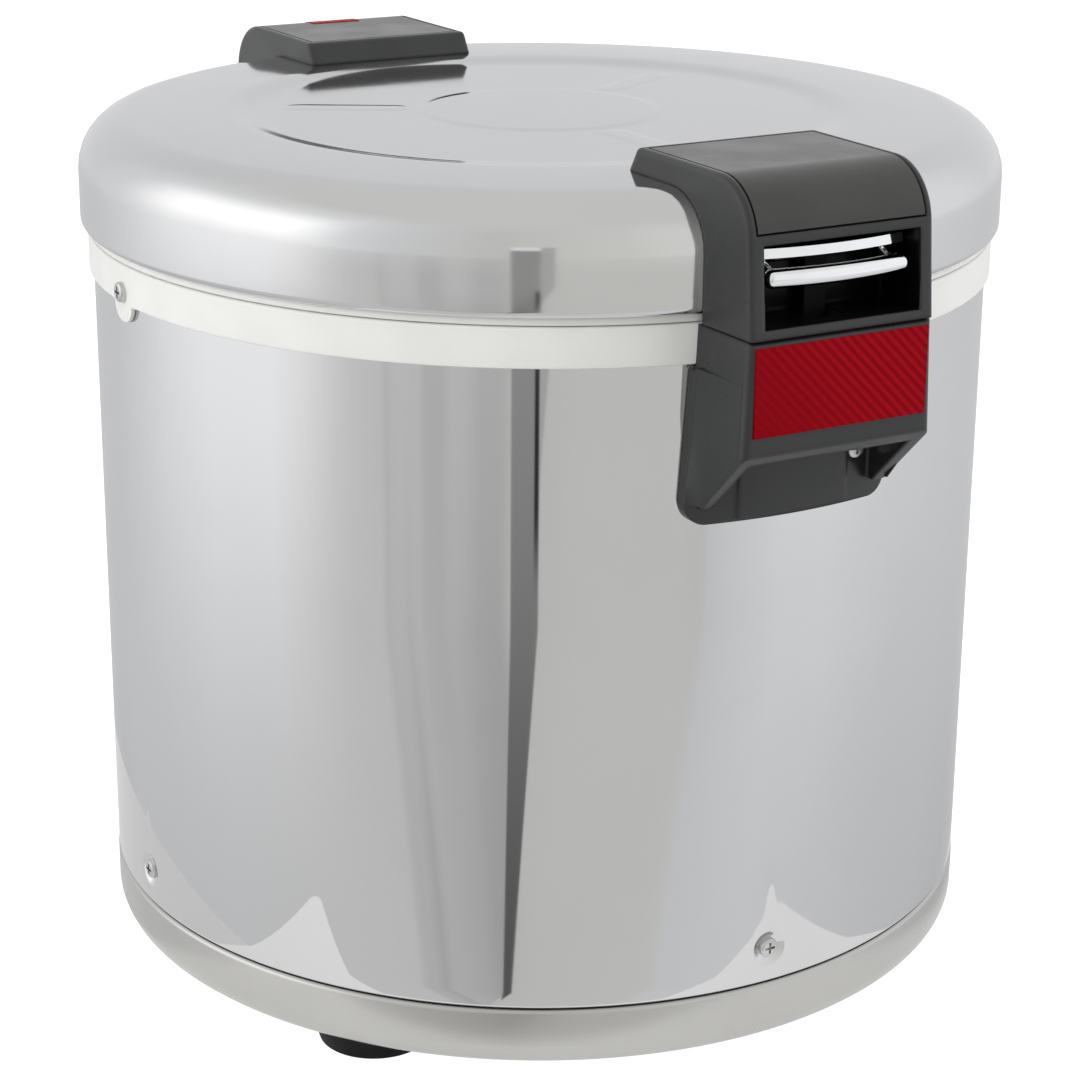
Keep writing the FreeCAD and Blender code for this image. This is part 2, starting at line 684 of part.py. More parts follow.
def heater_ring():
    """Sheathed ring element with two terminal studs down through the liner's floor."""
    centre = LINER_FLOOR_Z + ELEMENT_RADIUS + TOUCH
    ring = Part.makeTorus(ELEMENT_CIRCLE, ELEMENT_RADIUS, V(0, 0, centre))
    for x, y in stud_places():
        ring = ring.fuse(column(STUD_RADIUS, LINER_FLOOR_Z - STUD_DROP, centre, x, y))
    return ring


def side_heater_band():
    """Band heater round the liner's wall."""
    low = LINER_FLOOR_Z + BAND_RISE
    return tube(LINER_RADIUS + TOUCH, LINER_RADIUS + BAND_THICKNESS, low, low + BAND_HEIGHT)


def liner_insulation():
    """Glass-fibre sleeve between the liner and the shell, notched round the rear panel."""
    low = LINER_FLOOR_Z + PART_FIT
    high = COLLAR_TOP_Z - COLLAR_LIP_DROP - TAB_DROP
    sleeve = tube(INSULATION_INNER, INSULATION_OUTER, low, high)
    notch = box((-PANEL_HALF_WIDTH, PANEL_HALF_WIDTH), (0, FAR), (low, PANEL_Z + PANEL_HALF_HEIGHT))
    sleeve = sleeve.cut(notch)
    for angle, x in bracket_screw_places():
        bore = column(SCREW_RADIUS + PART_FIT, -2 * LINER_SPACE, 2 * LINER_SPACE)
        hole = outward(bore, 0, SHELL_RADIUS, BRACKET_SCREW_Z)
        hole.translate(V(x, 0, 0))
        sleeve = sleeve.cut(turned(hole, angle))
    return sleeve


def shield_low_z():
    """Height of the heat shield's underside."""
    return PAN_FLOOR_Z + PAN_WALL + POST_HEIGHT


def heat_shield():
    """Plate between the heaters and the base, with holes for the thermostat and the leads."""
    low = shield_low_z()
    shield = column(SHIELD_RADIUS, low, low + SHIELD_WALL)
    shield = shield.cut(column(SHIELD_HOLE_RADIUS, low, low + SHIELD_WALL))
    for x, y in stud_places():
        shield = shield.cut(column(2 * LEAD_RADIUS, low, low + SHIELD_WALL, x, y))
    return shield


def shield_posts():
    """Posts that carry the heat shield above the pan."""
    post = column(POST_RADIUS, PAN_FLOOR_Z + PAN_WALL, shield_low_z(), POST_CIRCLE, 0)
    return Part.makeCompound([turned(post, angle) for angle in ring_angles(POST_COUNT, POST_FIRST_ANGLE)])


def thermostat():
    """Disc thermostat against the middle of the liner's floor, with two blade terminals."""
    top = LINER_FLOOR_Z - LINER_WALL
    body = column(THERMOSTAT_RADIUS, top - THERMOSTAT_HEIGHT, top)
    reach = THERMOSTAT_RADIUS + BLADE_REACH
    for side in (-1, 1):
        inner = side * THERMOSTAT_RADIUS / 2
        xs = sorted((inner, side * reach))
        low = top - THERMOSTAT_HEIGHT
        body = body.fuse(box(xs, (-BLADE_WIDTH / 2, BLADE_WIDTH / 2), (low, low + BLADE_WALL)))
    return body.removeSplitter()


def thermal_fuse():
    """Tubular fuse held against the liner's floor by a bridge clip."""
    top = LINER_FLOOR_Z - LINER_WALL
    fuse = crossbar(FUSE_RADIUS, -FUSE_LENGTH / 2, FUSE_LENGTH / 2, -FUSE_OFFSET, top - FUSE_RADIUS)
    half_clip = 2 * FUSE_RADIUS
    clip = box((-half_clip / 2, half_clip / 2), (-FUSE_OFFSET - half_clip, -FUSE_OFFSET + half_clip),
               (top - BLADE_WALL, top))
    return fuse.fuse(clip).removeSplitter()


def terminal_box():
    """Extent of the terminal block on the pan's floor, below the heater's studs."""
    middle = stud_places()[0][1]
    low = PAN_FLOOR_Z + PAN_WALL
    xs = (TERMINAL_X - TERMINAL_WIDTH / 2, TERMINAL_X + TERMINAL_WIDTH / 2)
    return xs, (middle - TERMINAL_DEPTH / 2, middle + TERMINAL_DEPTH / 2), (low, low + TERMINAL_HEIGHT)


def terminal_block():
    """Ceramic block with a row of screw wells."""
    xs, ys, zs = terminal_box()
    block = box(xs, ys, zs)
    for x in inlet_pin_places():
        block = block.cut(column(SCREW_RADIUS, zs[1] - SCREW_LENGTH / 2, zs[1], x, ys[0] + SCREW_HEAD_RADIUS))
    return block


def lead(points, bend):
    """Round lead along two straight runs joined by one tangent arc."""
    first, corner, last = points
    back = first.sub(corner).normalize()
    ahead = last.sub(corner).normalize()
    middle = corner + (back + ahead).normalize() * (bend * (math.sqrt(2) - 1))
    path = Part.Wire([
        Part.makeLine(first, corner + back * bend),
        Part.Arc(corner + back * bend, middle, corner + ahead * bend).toShape(),
        Part.makeLine(corner + ahead * bend, last),
    ])
    section = Part.Wire([Part.makeCircle(LEAD_RADIUS, first, back)])
    return path.makePipeShell([section], True, False)


def supply_leads():
    """Leads from the inlet down to the terminal block."""
    start_y = panel_back() + 2 * LEAD_RADIUS + PANEL_DEPTH / 4
    low = PAN_FLOOR_Z + PAN_WALL + LEAD_FLOOR_RISE
    start_z = PANEL_Z - PANEL_HALF_HEIGHT + PANEL_LAP
    end_y = terminal_box()[1][1]
    leads = []
    for x in inlet_pin_places():
        leads.append(lead((V(x, start_y, start_z), V(x, start_y, low), V(x, end_y, low)), LEAD_BEND))
    return Part.makeCompound(leads)


def heater_leads():
    """Leads from the terminal block up to the heater's studs."""
    low = terminal_box()[2][1]
    high = LINER_FLOOR_Z - STUD_DROP
    return Part.makeCompound([column(LEAD_RADIUS, low, high, x, y) for x, y in stud_places()])


# Rear panel
def panel_back():
    """Distance of the rear panel's inner face from the vertical axis."""
    return SHELL_RADIUS - PANEL_DEPTH


def panel_opening(clearance):
    """Hole in the shell that the rear panel's body goes through."""
    half_width = PANEL_HALF_WIDTH - PANEL_LAP + clearance
    half_height = PANEL_HALF_HEIGHT - PANEL_LAP + clearance
    return box((-half_width, half_width), (0, FAR), (PANEL_Z - half_height, PANEL_Z + half_height))


def inlet_pin_places():
    """x of the inlet's pins."""
    return [INLET_X + step * INLET_PIN_PITCH for step in (-1, 0, 1)]


def rocker_pivot():
    """Centre of the rocker's axle."""
    return V(ROCKER_X, SHELL_RADIUS + PANEL_PROUD - ROCKER_SINK, PANEL_Z)


def rear_panel():
    """Moulded panel with a socket for the mains connector and a well for the rocker."""
    face = SHELL_RADIUS + PANEL_PROUD
    flange = facing([
        (-PANEL_HALF_WIDTH, PANEL_Z - PANEL_HALF_HEIGHT, PANEL_LAP),
        (PANEL_HALF_WIDTH, PANEL_Z - PANEL_HALF_HEIGHT, PANEL_LAP),
        (PANEL_HALF_WIDTH, PANEL_Z + PANEL_HALF_HEIGHT, PANEL_LAP),
        (-PANEL_HALF_WIDTH, PANEL_Z + PANEL_HALF_HEIGHT, PANEL_LAP),
    ], LINER_RADIUS, face)
    flange = with_round_edges(flange, lambda edge: edge.BoundBox.YMin > face - TOUCH, PANEL_PROUD / 3)
    flange = flange.cut(column(SHELL_RADIUS + TOUCH, 0, LID_TOP_Z))
    inside = box((-FAR, FAR), (panel_back(), face - PANEL_PROUD / 2), (0, LID_TOP_Z)).common(panel_opening(0))
    panel = flange.fuse(inside).removeSplitter()
    socket_half = (INLET_X - INLET_HALF_WIDTH, INLET_X + INLET_HALF_WIDTH)
    panel = panel.cut(box(socket_half, (face - INLET_DEPTH, face),
                          (PANEL_Z - INLET_HALF_HEIGHT, PANEL_Z + INLET_HALF_HEIGHT)))
    for x in inlet_pin_places():
        panel = panel.cut(inlet_pin(x, SLIP_FIT))
    well_length = ROCKER_HALF_LENGTH + ROCKER_GAP
    well_height = ROCKER_HALF_HEIGHT + ROCKER_SIDE_GAP
    panel = panel.cut(box((ROCKER_X - well_length, ROCKER_X + well_length), (face - ROCKER_DEPTH, face),
                          (PANEL_Z - well_height, PANEL_Z + well_height)))
    pivot = rocker_pivot()
    axle = ROCKER_HALF_HEIGHT + ROCKER_SIDE_GAP + ROCKER_AXLE_REACH + PART_FIT
    return panel.cut(column(ROCKER_AXLE_RADIUS + RUN_FIT, PANEL_Z - axle, PANEL_Z + axle, pivot.x, pivot.y))


def inlet_pin(x, clearance):
    """One flat contact blade, rooted in the socket's floor."""
    root = SHELL_RADIUS + PANEL_PROUD - INLET_DEPTH
    half_width = INLET_PIN_WIDTH / 2 + clearance
    half_height = INLET_PIN_HEIGHT / 2 + clearance
    return box((x - half_width, x + half_width), (root - INLET_PIN_ROOT, root + INLET_PIN_LENGTH),
               (PANEL_Z - half_height, PANEL_Z + half_height))


def inlet_pins():
    """Contact blades in the socket."""
    return Part.makeCompound([inlet_pin(x, 0) for x in inlet_pin_places()])


def switch_rocker():
    """Rocker with two slanted faces and stub axles, resting with one end pressed in."""
    outline = rounded_outline([
        (-ROCKER_HALF_LENGTH, -ROCKER_FOOT / 2),
        (-ROCKER_HALF_LENGTH, ROCKER_RISE),
        (0, ROCKER_WAIST),
        (ROCKER_HALF_LENGTH, ROCKER_RISE),
        (ROCKER_HALF_LENGTH, -ROCKER_FOOT / 2),
        (0, -ROCKER_FOOT),
    ])
    face = Part.Face(outline)
    face.rotate(V(0, 0, 0), V(1, 0, 0), -90)
    face.translate(V(0, 0, -ROCKER_HALF_HEIGHT))
    rocker = face.extrude(V(0, 0, 2 * ROCKER_HALF_HEIGHT))
    axle = ROCKER_HALF_HEIGHT + ROCKER_SIDE_GAP + ROCKER_AXLE_REACH
    rocker = rocker.fuse(column(ROCKER_AXLE_RADIUS, -axle, axle)).removeSplitter()
    rocker.rotate(V(0, 0, 0), V(0, 0, 1), -ROCKER_TILT)
    rocker.translate(rocker_pivot())
    return rocker


# Lid
def lid_top_z(radius):
    """Height of the lid's upper face outside its pressed ring."""
    return LID_TOP_Z + LID_CROWN * (LID_RADIUS - radius) / (LID_RADIUS - RING_STEP_OUTER)


def lid_envelope(clearance):
    """Everything under the lid's outer face, grown by a clearance, to cut what sits on it."""
    return revolved([
        (0, SEAM_Z),
        (LID_RADIUS + clearance, SEAM_Z),
        (LID_RADIUS + clearance, LID_TOP_Z + clearance, LID_SHOULDER + clearance),
        (RING_STEP_OUTER, lid_top_z(RING_STEP_OUTER) + clearance),
        (0, lid_top_z(RING_STEP_OUTER) + clearance),
    ])


def rib_angles():
    """Directions of the pressed ribs, one of them towards the front."""
    return ring_angles(RIB_COUNT, 180)


def lid_shell():
    """Pressed lid with a curled lower edge, a round shoulder, a sunken ring and three ribs."""
    step_top = lid_top_z(RING_STEP_OUTER)
    floor = step_top - RING_STEP_DEPTH
    boss = floor + BOSS_RISE
    wall = LID_WALL
    curl_end = RIM_RADIUS + PART_FIT
    shell = revolved([
        (curl_end, LID_EDGE_Z),
        (LID_RADIUS, LID_EDGE_Z, LID_CURL),
        (LID_RADIUS, LID_TOP_Z, LID_SHOULDER),
        (RING_STEP_OUTER, step_top),
        (RING_STEP_INNER, floor),
        (BOSS_RADIUS + BOSS_SLOPE, floor),
        (BOSS_RADIUS, boss),
        (0, boss),
        (0, boss - wall),
        (BOSS_RADIUS, boss - wall),
        (BOSS_RADIUS + BOSS_SLOPE, floor - wall),
        (RING_STEP_INNER, floor - wall),
        (RING_STEP_OUTER, step_top - wall),
        (LID_RADIUS - wall, LID_TOP_Z - wall, LID_SHOULDER - wall),
        (LID_RADIUS - wall, LID_EDGE_Z + wall, LID_CURL - wall),
        (curl_end, LID_EDGE_Z + wall),
    ])
    rib = box((-RIB_HALF_WIDTH, RIB_HALF_WIDTH), (RIB_INNER, RIB_OUTER), (floor - wall / 2, floor + RIB_RISE))
    rib = with_round_edges(rib, lambda edge: edge.BoundBox.ZMax > floor and edge.BoundBox.ZMin < floor,
                           RIB_CORNER)
    for angle in rib_angles():
        shell = shell.fuse(turned(rib, angle))
    shell = shell.removeSplitter()
    for x, y in block_screw_places():
        shell = shell.cut(column(SCREW_RADIUS + SLIP_FIT, LID_EDGE_Z, BLOCK_TOP_Z, x, y))
    return shell


def rim_screw_places():
    """Angles of the inner plate's screws, and their distance from the axis."""
    angles = ring_angles(INNER_PLATE_SCREWS, 180.0 / INNER_PLATE_SCREWS)
    return angles, (RIM_BORE + RIM_RADIUS - RIM_UPSTAND_WALL) / 2


def lid_rim_ring():
    """White ring that closes the lid's lower edge and carries the inner plate and gasket."""
    high = RIM_FLANGE_Z + RIM_UPSTAND
    ring = revolved([
        (RIM_BORE, RIM_BOTTOM_Z),
        (RIM_RADIUS, RIM_BOTTOM_Z),
        (RIM_RADIUS, high),
        (RIM_RADIUS - RIM_UPSTAND_WALL, high),
        (RIM_RADIUS - RIM_UPSTAND_WALL, RIM_FLANGE_Z),
        (RIM_BORE, RIM_FLANGE_Z),
    ])
    angles, circle = rim_screw_places()
    well_top = RIM_BOTTOM_Z + SCREW_HEAD_HEIGHT + PART_FIT
    well = column(SCREW_HEAD_RADIUS + PART_FIT, RIM_BOTTOM_Z, well_top, 0, circle)
    hole = column(SCREW_RADIUS + SLIP_FIT, RIM_BOTTOM_Z, RIM_FLANGE_Z, 0, circle)
    for angle in angles:
        ring = ring.cut(turned(well.fuse(hole), angle))
    return ring


def lid_gasket():
    """Soft seal inside the rim ring, just above the pot's rim."""
    low = POT_RIM_Z + PART_FIT
    return revolved([
        (RIM_BORE - GASKET_WIDTH, low, GASKET_HEIGHT / 4),
        (RIM_BORE, low),
        (RIM_BORE, low + GASKET_HEIGHT),
        (RIM_BORE - GASKET_WIDTH, low + GASKET_HEIGHT, GASKET_HEIGHT / 4),
    ])


def lid_inner_plate():
    """Raised dish that closes the lid from below."""
    outer = RIM_RADIUS - RIM_UPSTAND_WALL - PART_FIT
    foot_radius = RIM_BORE - RIM_UPSTAND_WALL / 2
    wall = INNER_PLATE_WALL
    plate = revolved([
        (0, PLATE_TOP_Z - wall),
        (INNER_PLATE_FLAT, PLATE_TOP_Z - wall),
        (foot_radius, RIM_FLANGE_Z),
        (outer, RIM_FLANGE_Z),
        (outer, RIM_FLANGE_Z + wall),
        (foot_radius, RIM_FLANGE_Z + wall),
        (INNER_PLATE_FLAT, PLATE_TOP_Z),
        (0, PLATE_TOP_Z),
    ])
    angles, circle = rim_screw_places()
    hole = column(SCREW_RADIUS + SLIP_FIT, RIM_BOTTOM_Z, PLATE_TOP_Z, 0, circle)
    for angle in angles:
        plate = plate.cut(turned(hole, angle))
    return plate


def inner_plate_screws():
    """Screws up through the rim ring into the inner plate."""
    angles, circle = rim_screw_places()
    seat = RIM_BOTTOM_Z + SCREW_HEAD_HEIGHT + PART_FIT
    return Part.makeCompound([turned(downward(screw(), 0, circle, seat), angle) for angle in angles])


def lid_insulation():
    """Pad between the lid's inner plate and its shell."""
    outer = RIM_RADIUS - RIM_UPSTAND_WALL - PART_FIT
    low = PLATE_TOP_Z + PART_FIT
    high = low + LID_INSULATION_THICKNESS
    return revolved([
        (0, low),
        (outer, low),
        (outer, high, LID_SHOULDER),
        (0, high),
    ])


# Blocks on the lid
def block_screw_places():
    """Where the screws come up through the lid into the handle and the hinge cover."""
    y = BLOCK_BACK + BLOCK_SCREW_SET_BACK
    return [(side * BLOCK_SCREW_X, end * y) for end in (-1, 1) for side in (-1, 1)]


def block_outline(reach, lean, inset):
    """Side outline of a block on the lid, drawn at the rear and inset by a distance."""
    low = LID_TOP_Z - BLOCK_RISE
    back = BLOCK_BACK + inset - BLOCK_BACK_SLOPE * (BLOCK_TOP_Z - low)
    return [
        (back, low),
        (BLOCK_BACK + inset, BLOCK_TOP_Z - inset, BLOCK_BACK_EDGE),
        (reach - lean - inset, BLOCK_TOP_Z - inset, BLOCK_CORNER - inset),
        (reach - inset, BLOCK_BOTTOM_Z),
        (RIM_BORE, BLOCK_BOTTOM_Z),
        (RIM_BORE, low),
    ]


def lid_block(reach, lean):
    """Solid block seated on the lid's top, shoulder and wall, with rounded sides."""
    solid = across(block_outline(reach, lean, 0), BLOCK_HALF_WIDTH)

    def on_side(edge):
        middle = edge.CenterOfMass
        outer_run = middle.z > LID_TOP_Z or middle.y > reach - lean
        return abs(abs(middle.x) - BLOCK_HALF_WIDTH) < TOUCH and outer_run

    solid = with_round_edges(solid, on_side, BLOCK_SIDE_EDGE)
    solid = solid.cut(lid_envelope(TOUCH))
    for x, y in block_screw_places():
        hole_top = block_screw_seat(y) + SCREW_LENGTH
        solid = solid.cut(column(SCREW_RADIUS + SLIP_FIT, LID_EDGE_Z, hole_top, x, y))
    return solid


def block_screw_seat(y):
    """Height of the lid's inner face where a block screw's head bears on it."""
    return lid_top_z(abs(y)) - LID_WALL - SLIP_FIT


def block_screws():
    """Screws up from inside the lid into both blocks."""
    return Part.makeCompound([downward(screw(), x, y, block_screw_seat(y)) for x, y in block_screw_places()])


def top_strip(reach, lean, insets, half_width, span):
    """Curved strip of a block's top between two insets, cut to a width and to a span of (y, lowest z)."""
    strip = across(block_outline(reach, lean, insets[0]), half_width)
    strip = strip.cut(across(block_outline(reach, lean, insets[1]), FAR))
    return strip.common(box((-FAR, FAR), (span[0], span[1]), (span[2], BLOCK_TOP_Z + BLOCK_RISE)))


def top_panel(reach, lean, gap):
    """Inset panel along a block's top; a positive gap gives the recess that it lies in."""
    span = (BLOCK_BACK + TOP_PANEL_BACK - gap, FAR, BLOCK_TOP_Z - TOP_PANEL_DROP - gap)
    return top_strip(reach, lean, (0, TOP_PANEL_WALL), TOP_PANEL_HALF_WIDTH + gap, span)


def lid_handle():
    """Front block with a recess for its top panel and a window and pocket for the latch."""
    handle = lid_block(BLOCK_REACH, BLOCK_LEAN)
    handle = handle.cut(top_panel(BLOCK_REACH, BLOCK_LEAN, TOP_PANEL_GROOVE))
    window_xs = (-WINDOW_HALF_WIDTH, WINDOW_HALF_WIDTH)
    handle = handle.cut(box(window_xs, (POCKET_R, FAR), (WINDOW_LOW_Z, WINDOW_HIGH_Z)))
    handle = handle.cut(hook_slot(BLOCK_BOTTOM_Z - SPLIT_GAP, WINDOW_LOW_Z))
    pin_half = WINDOW_HALF_WIDTH + LATCH_PIN_SEAT
    return to_front(handle.cut(crossbar(LATCH_PIN_RADIUS + TOUCH, -pin_half, pin_half, LATCH_R, LATCH_Z)))


def handle_top_panel():
    """Inset panel on the handle."""
    return to_front(top_panel(BLOCK_REACH, BLOCK_LEAN, 0))


def latch_pin():
    """Pin that the latch turns on, held in the handle's cheeks."""
    half = WINDOW_HALF_WIDTH + LATCH_PIN_SEAT - PART_FIT
    return to_front(crossbar(LATCH_PIN_RADIUS, -half, half, LATCH_R, LATCH_Z))


def lever_bar_r(x):
    """Distance of the grip bar's centre line from the vertical axis, bowed outwards in the middle."""
    return LATCH_R + BAR_FORWARD - BAR_BOW * (x / BAR_HALF_WIDTH) ** 2


def finger_plate(x_from, x_to):
    """Plate that slopes from the barrel's top to its front, bowed like the grip bar."""
    bow_radius = (BAR_HALF_WIDTH ** 2 + BAR_BOW ** 2) / (2 * BAR_BOW)
    bow_centre = V(0, LATCH_R + BAR_FORWARD - bow_radius, 0)
    slope = V(0, FINGER_PLATE_REACH - FINGER_PLATE_BACK, -FINGER_PLATE_DROP - FINGER_PLATE_RISE)
    under = V(0, slope.z, -slope.y).normalize() * FINGER_PLATE_WALL
    back = V(0, LATCH_R + FINGER_PLATE_BACK, LATCH_Z + FINGER_PLATE_RISE)
    section = Part.Face(Part.makePolygon([back, back + slope, back + slope + under, back + under, back]))
    half_turn = math.degrees(math.asin(WINDOW_HALF_WIDTH / (back.y - bow_centre.y)))
    section.rotate(bow_centre, V(0, 0, 1), -half_turn)
    plate = section.revolve(bow_centre, V(0, 0, 1), 2 * half_turn)
    return plate.common(box((x_from, x_to), (0, FAR), (0, BLOCK_TOP_Z)))


def latch_lever():
    """Chromed lever: a barrel on the pin, a finger plate, two arms and a bowed grip bar with round ends."""
    barrel_to = WINDOW_HALF_WIDTH - BARREL_END_GAP
    barrel_from = -barrel_to + SPRING_LENGTH + PART_FIT
    lever = crossbar(BARREL_RADIUS, barrel_from, barrel_to, LATCH_R, LATCH_Z)
    lever = lever.fuse(finger_plate(barrel_from, barrel_to))
    bar_z = LATCH_Z - BAR_BELOW
    ends = [V(side * BAR_HALF_WIDTH, lever_bar_r(BAR_HALF_WIDTH), bar_z) for side in (-1, 1)]
    path = Part.Wire([Part.Arc(ends[0], V(0, lever_bar_r(0), bar_z), ends[1]).toShape()])
    bow = path.Edges[0]
    section = Part.Wire([Part.makeCircle(BAR_RADIUS, ends[0], bow.tangentAt(bow.FirstParameter))])
    lever = lever.fuse(path.makePipeShell([section], True, False))
    for end in ends:
        lever = lever.fuse(Part.makeSphere(BAR_RADIUS, end))
    for x in (-LEVER_ARM_X, LEVER_ARM_X):
        lever = lever.fuse(rod(V(x, LATCH_R, LATCH_Z), V(x, lever_bar_r(x), bar_z), LEVER_ARM_RADIUS))
    bore = crossbar(LATCH_PIN_RADIUS + RUN_FIT, -WINDOW_HALF_WIDTH, WINDOW_HALF_WIDTH, LATCH_R, LATCH_Z)
    return to_front(lever.cut(bore).removeSplitter())


def latch_hook():
    """Steel hook down from the barrel, with a nose that catches under the keeper."""
    back = HOOK_R - HOOK_WALL
    nose_top = HOOK_LOW_Z + HOOK_NOSE_HEIGHT
    hook = across([
        (back - HOOK_NOSE, HOOK_LOW_Z, HOOK_WALL / 4),
        (HOOK_R, HOOK_LOW_Z, HOOK_WALL / 4),
        (HOOK_R, LATCH_Z + BARREL_RADIUS / 2),
        (back, LATCH_Z + BARREL_RADIUS / 2),
        (back, nose_top),
        (back - HOOK_NOSE, nose_top),
    ], HOOK_HALF_WIDTH)
    seat = crossbar(BARREL_RADIUS + TOUCH / 5, -FAR, FAR, LATCH_R, LATCH_Z)
    return to_front(hook.cut(seat))


def hook_slot(low, high):
    """Room for the hook to pass down and swing outwards."""
    swing = math.sin(math.radians(HOOK_SWING)) * (LATCH_Z - HOOK_LOW_Z)
    half = HOOK_HALF_WIDTH + HOOK_SIDE_GAP
    inner = HOOK_R - HOOK_WALL - HOOK_NOSE - KEEPER_GAP
    return box((-half, half), (inner, HOOK_R + swing + HOOK_SIDE_GAP), (low, high))


def latch_spring():
    """Torsion spring on the pin beside the barrel, as a plain sleeve with one leg."""
    end = BARREL_END_GAP - WINDOW_HALF_WIDTH
    sleeve = crossbar(BARREL_RADIUS - SLIP_FIT, end, end + SPRING_LENGTH, LATCH_R, LATCH_Z)
    sleeve = sleeve.cut(crossbar(LATCH_PIN_RADIUS + TOUCH, -FAR, FAR, LATCH_R, LATCH_Z))
    middle = end + SPRING_LENGTH / 2
    leg_r = LATCH_R - BARREL_RADIUS + SPRING_WALL / 2
    leg = rod(V(middle, leg_r, LATCH_Z), V(middle, leg_r, LATCH_Z - SPRING_LEG_LENGTH), SPRING_LEG_RADIUS)
    return to_front(sleeve.fuse(leg).removeSplitter())


# Blocks on the body
def bracket(top, pocket_high):
    """Block on the shell with a back plate, a front wall and a hand-lift pocket open below."""
    front_low = BRACKET_FRONT_Z
    low = BRACKET_BOTTOM_Z
    narrow = BRACKET_TOP_HALF_WIDTH
    wide = BRACKET_LOW_HALF_WIDTH
    solid = facing([
        (-wide, front_low),
        (-wide, low),
        (wide, low),
        (wide, front_low),
        (narrow, COLLAR_TOP_Z),
        (-narrow, COLLAR_TOP_Z),
    ], LINER_RADIUS, BRACKET_REACH)

    def front_corner(edge):
        bounds = edge.BoundBox
        return bounds.YMin > BRACKET_REACH - TOUCH and bounds.ZLength > BRACKET_EDGE

    solid = with_round_edges(solid, front_corner, BRACKET_EDGE)
    solid = solid.common(across([
        (LINER_RADIUS, top),
        (BRACKET_REACH, top, BRACKET_EDGE),
        (BRACKET_REACH, front_low, BRACKET_EDGE),
        (PLATE_RADIUS, low + PLATE_FOOT),
        (LINER_RADIUS, low + PLATE_FOOT),
    ], PLATE_HALF_WIDTH))
    plate = facing([
        (-PLATE_HALF_WIDTH, low, PLATE_CORNER),
        (PLATE_HALF_WIDTH, low, PLATE_CORNER),
        (PLATE_TOP_HALF_WIDTH, COLLAR_BOTTOM_Z - SPLIT_GAP, BRACKET_EDGE),
        (-PLATE_TOP_HALF_WIDTH, COLLAR_BOTTOM_Z - SPLIT_GAP, BRACKET_EDGE),
    ], LINER_RADIUS, FAR)
    saddle = column(PLATE_RADIUS, low, top)
    solid = solid.fuse(plate.common(saddle))
    inner = BRACKET_TOP_HALF_WIDTH - BRACKET_CHEEK_WALL
    pocket = box((-inner, inner), (0, BRACKET_REACH - BRACKET_FRONT_WALL), (0, pocket_high))
    solid = solid.cut(pocket.cut(saddle))
    pad_zs = (low + PAD_PROUD, low + PAD_HEIGHT)
    pad = box((-PAD_HALF_WIDTH, PAD_HALF_WIDTH), (LINER_RADIUS, FAR), pad_zs)
    solid = solid.fuse(pad.common(column(PLATE_RADIUS + PAD_PROUD, low, top)))
    solid = solid.cut(column(SHELL_RADIUS + TOUCH, 0, LID_TOP_Z))
    solid = solid.cut(column(COLLAR_RADIUS + SLIP_FIT, COLLAR_BOTTOM_Z - SPLIT_GAP, LID_TOP_Z))
    for side in (-1, 1):
        solid = solid.cut(outward_at(screw_hole(FAR), side * BRACKET_SCREW_X))
        spot_face = column(SCREW_HEAD_RADIUS + PART_FIT, 0, PLATE_WALL)
        solid = solid.cut(outward_at(spot_face, side * BRACKET_SCREW_X))
    return solid.removeSplitter()


def outward_at(shape, x):
    """Piece drawn along +Z, pointed to the rear at a bracket screw's place."""
    placed = outward(shape, 0, BRACKET_SCREW_SEAT, BRACKET_SCREW_Z)
    placed.translate(V(x, 0, 0))
    return placed


def bracket_screws():
    """Two screws through a bracket's back plate, drawn at the rear."""
    return Part.makeCompound([outward_at(screw(), side * BRACKET_SCREW_X) for side in (-1, 1)])


def keeper_box(clearance, high):
    """Space of the keeper, up to a given height."""
    low = COLLAR_TOP_Z - KEEPER_BELOW - KEEPER_WALL
    half = KEEPER_HALF_WIDTH + clearance
    return box((-half, half), (KEEPER_R - KEEPER_DEPTH - clearance, KEEPER_R + clearance), (low, high))


def latch_bracket():
    """Front bracket with a slot for the hook, a seat for the keeper and a recess for its red plate."""
    front = bracket(BRACKET_TOP_Z, BRACKET_TOP_Z - BRACKET_DECK)
    front = front.cut(hook_slot(BRACKET_FRONT_Z, BLOCK_BOTTOM_Z))
    front = front.cut(keeper_box(TOUCH, BLOCK_BOTTOM_Z))
    return to_front(front.cut(label(SLIP_FIT)))


def latch_keeper():
    """Steel strip across the hook's slot."""
    return to_front(keeper_box(0, COLLAR_TOP_Z - KEEPER_BELOW))


def label(clearance):
    """Thin plate set a little into the front wall; the clearance widens its recess."""
    half = LABEL_WIDTH / 2 + clearance
    high = BRACKET_TOP_Z - LABEL_BELOW_TOP + clearance
    low = BRACKET_TOP_Z - LABEL_BELOW_TOP - LABEL_HEIGHT - clearance
    face = BRACKET_REACH - LABEL_SINK
    return box((-half, half), (face, face + LABEL_WALL), (low, high))


def front_label_plate():
    """Bare red plate on the front."""
    return to_front(label(0))


# Hinge
def hinge_pin():
    """Pin through the bracket's barrel and the lid's knuckles."""
    half = hinge_half_width() - HINGE_PIN_END
    return crossbar(HINGE_PIN_RADIUS, -half, half, HINGE_Y, HINGE_Z)


def hinge_half_width():
    """Half the length of the bracket's barrel, inside the cover's cheeks."""
    return BLOCK_HALF_WIDTH - HINGE_WALL - PART_FIT


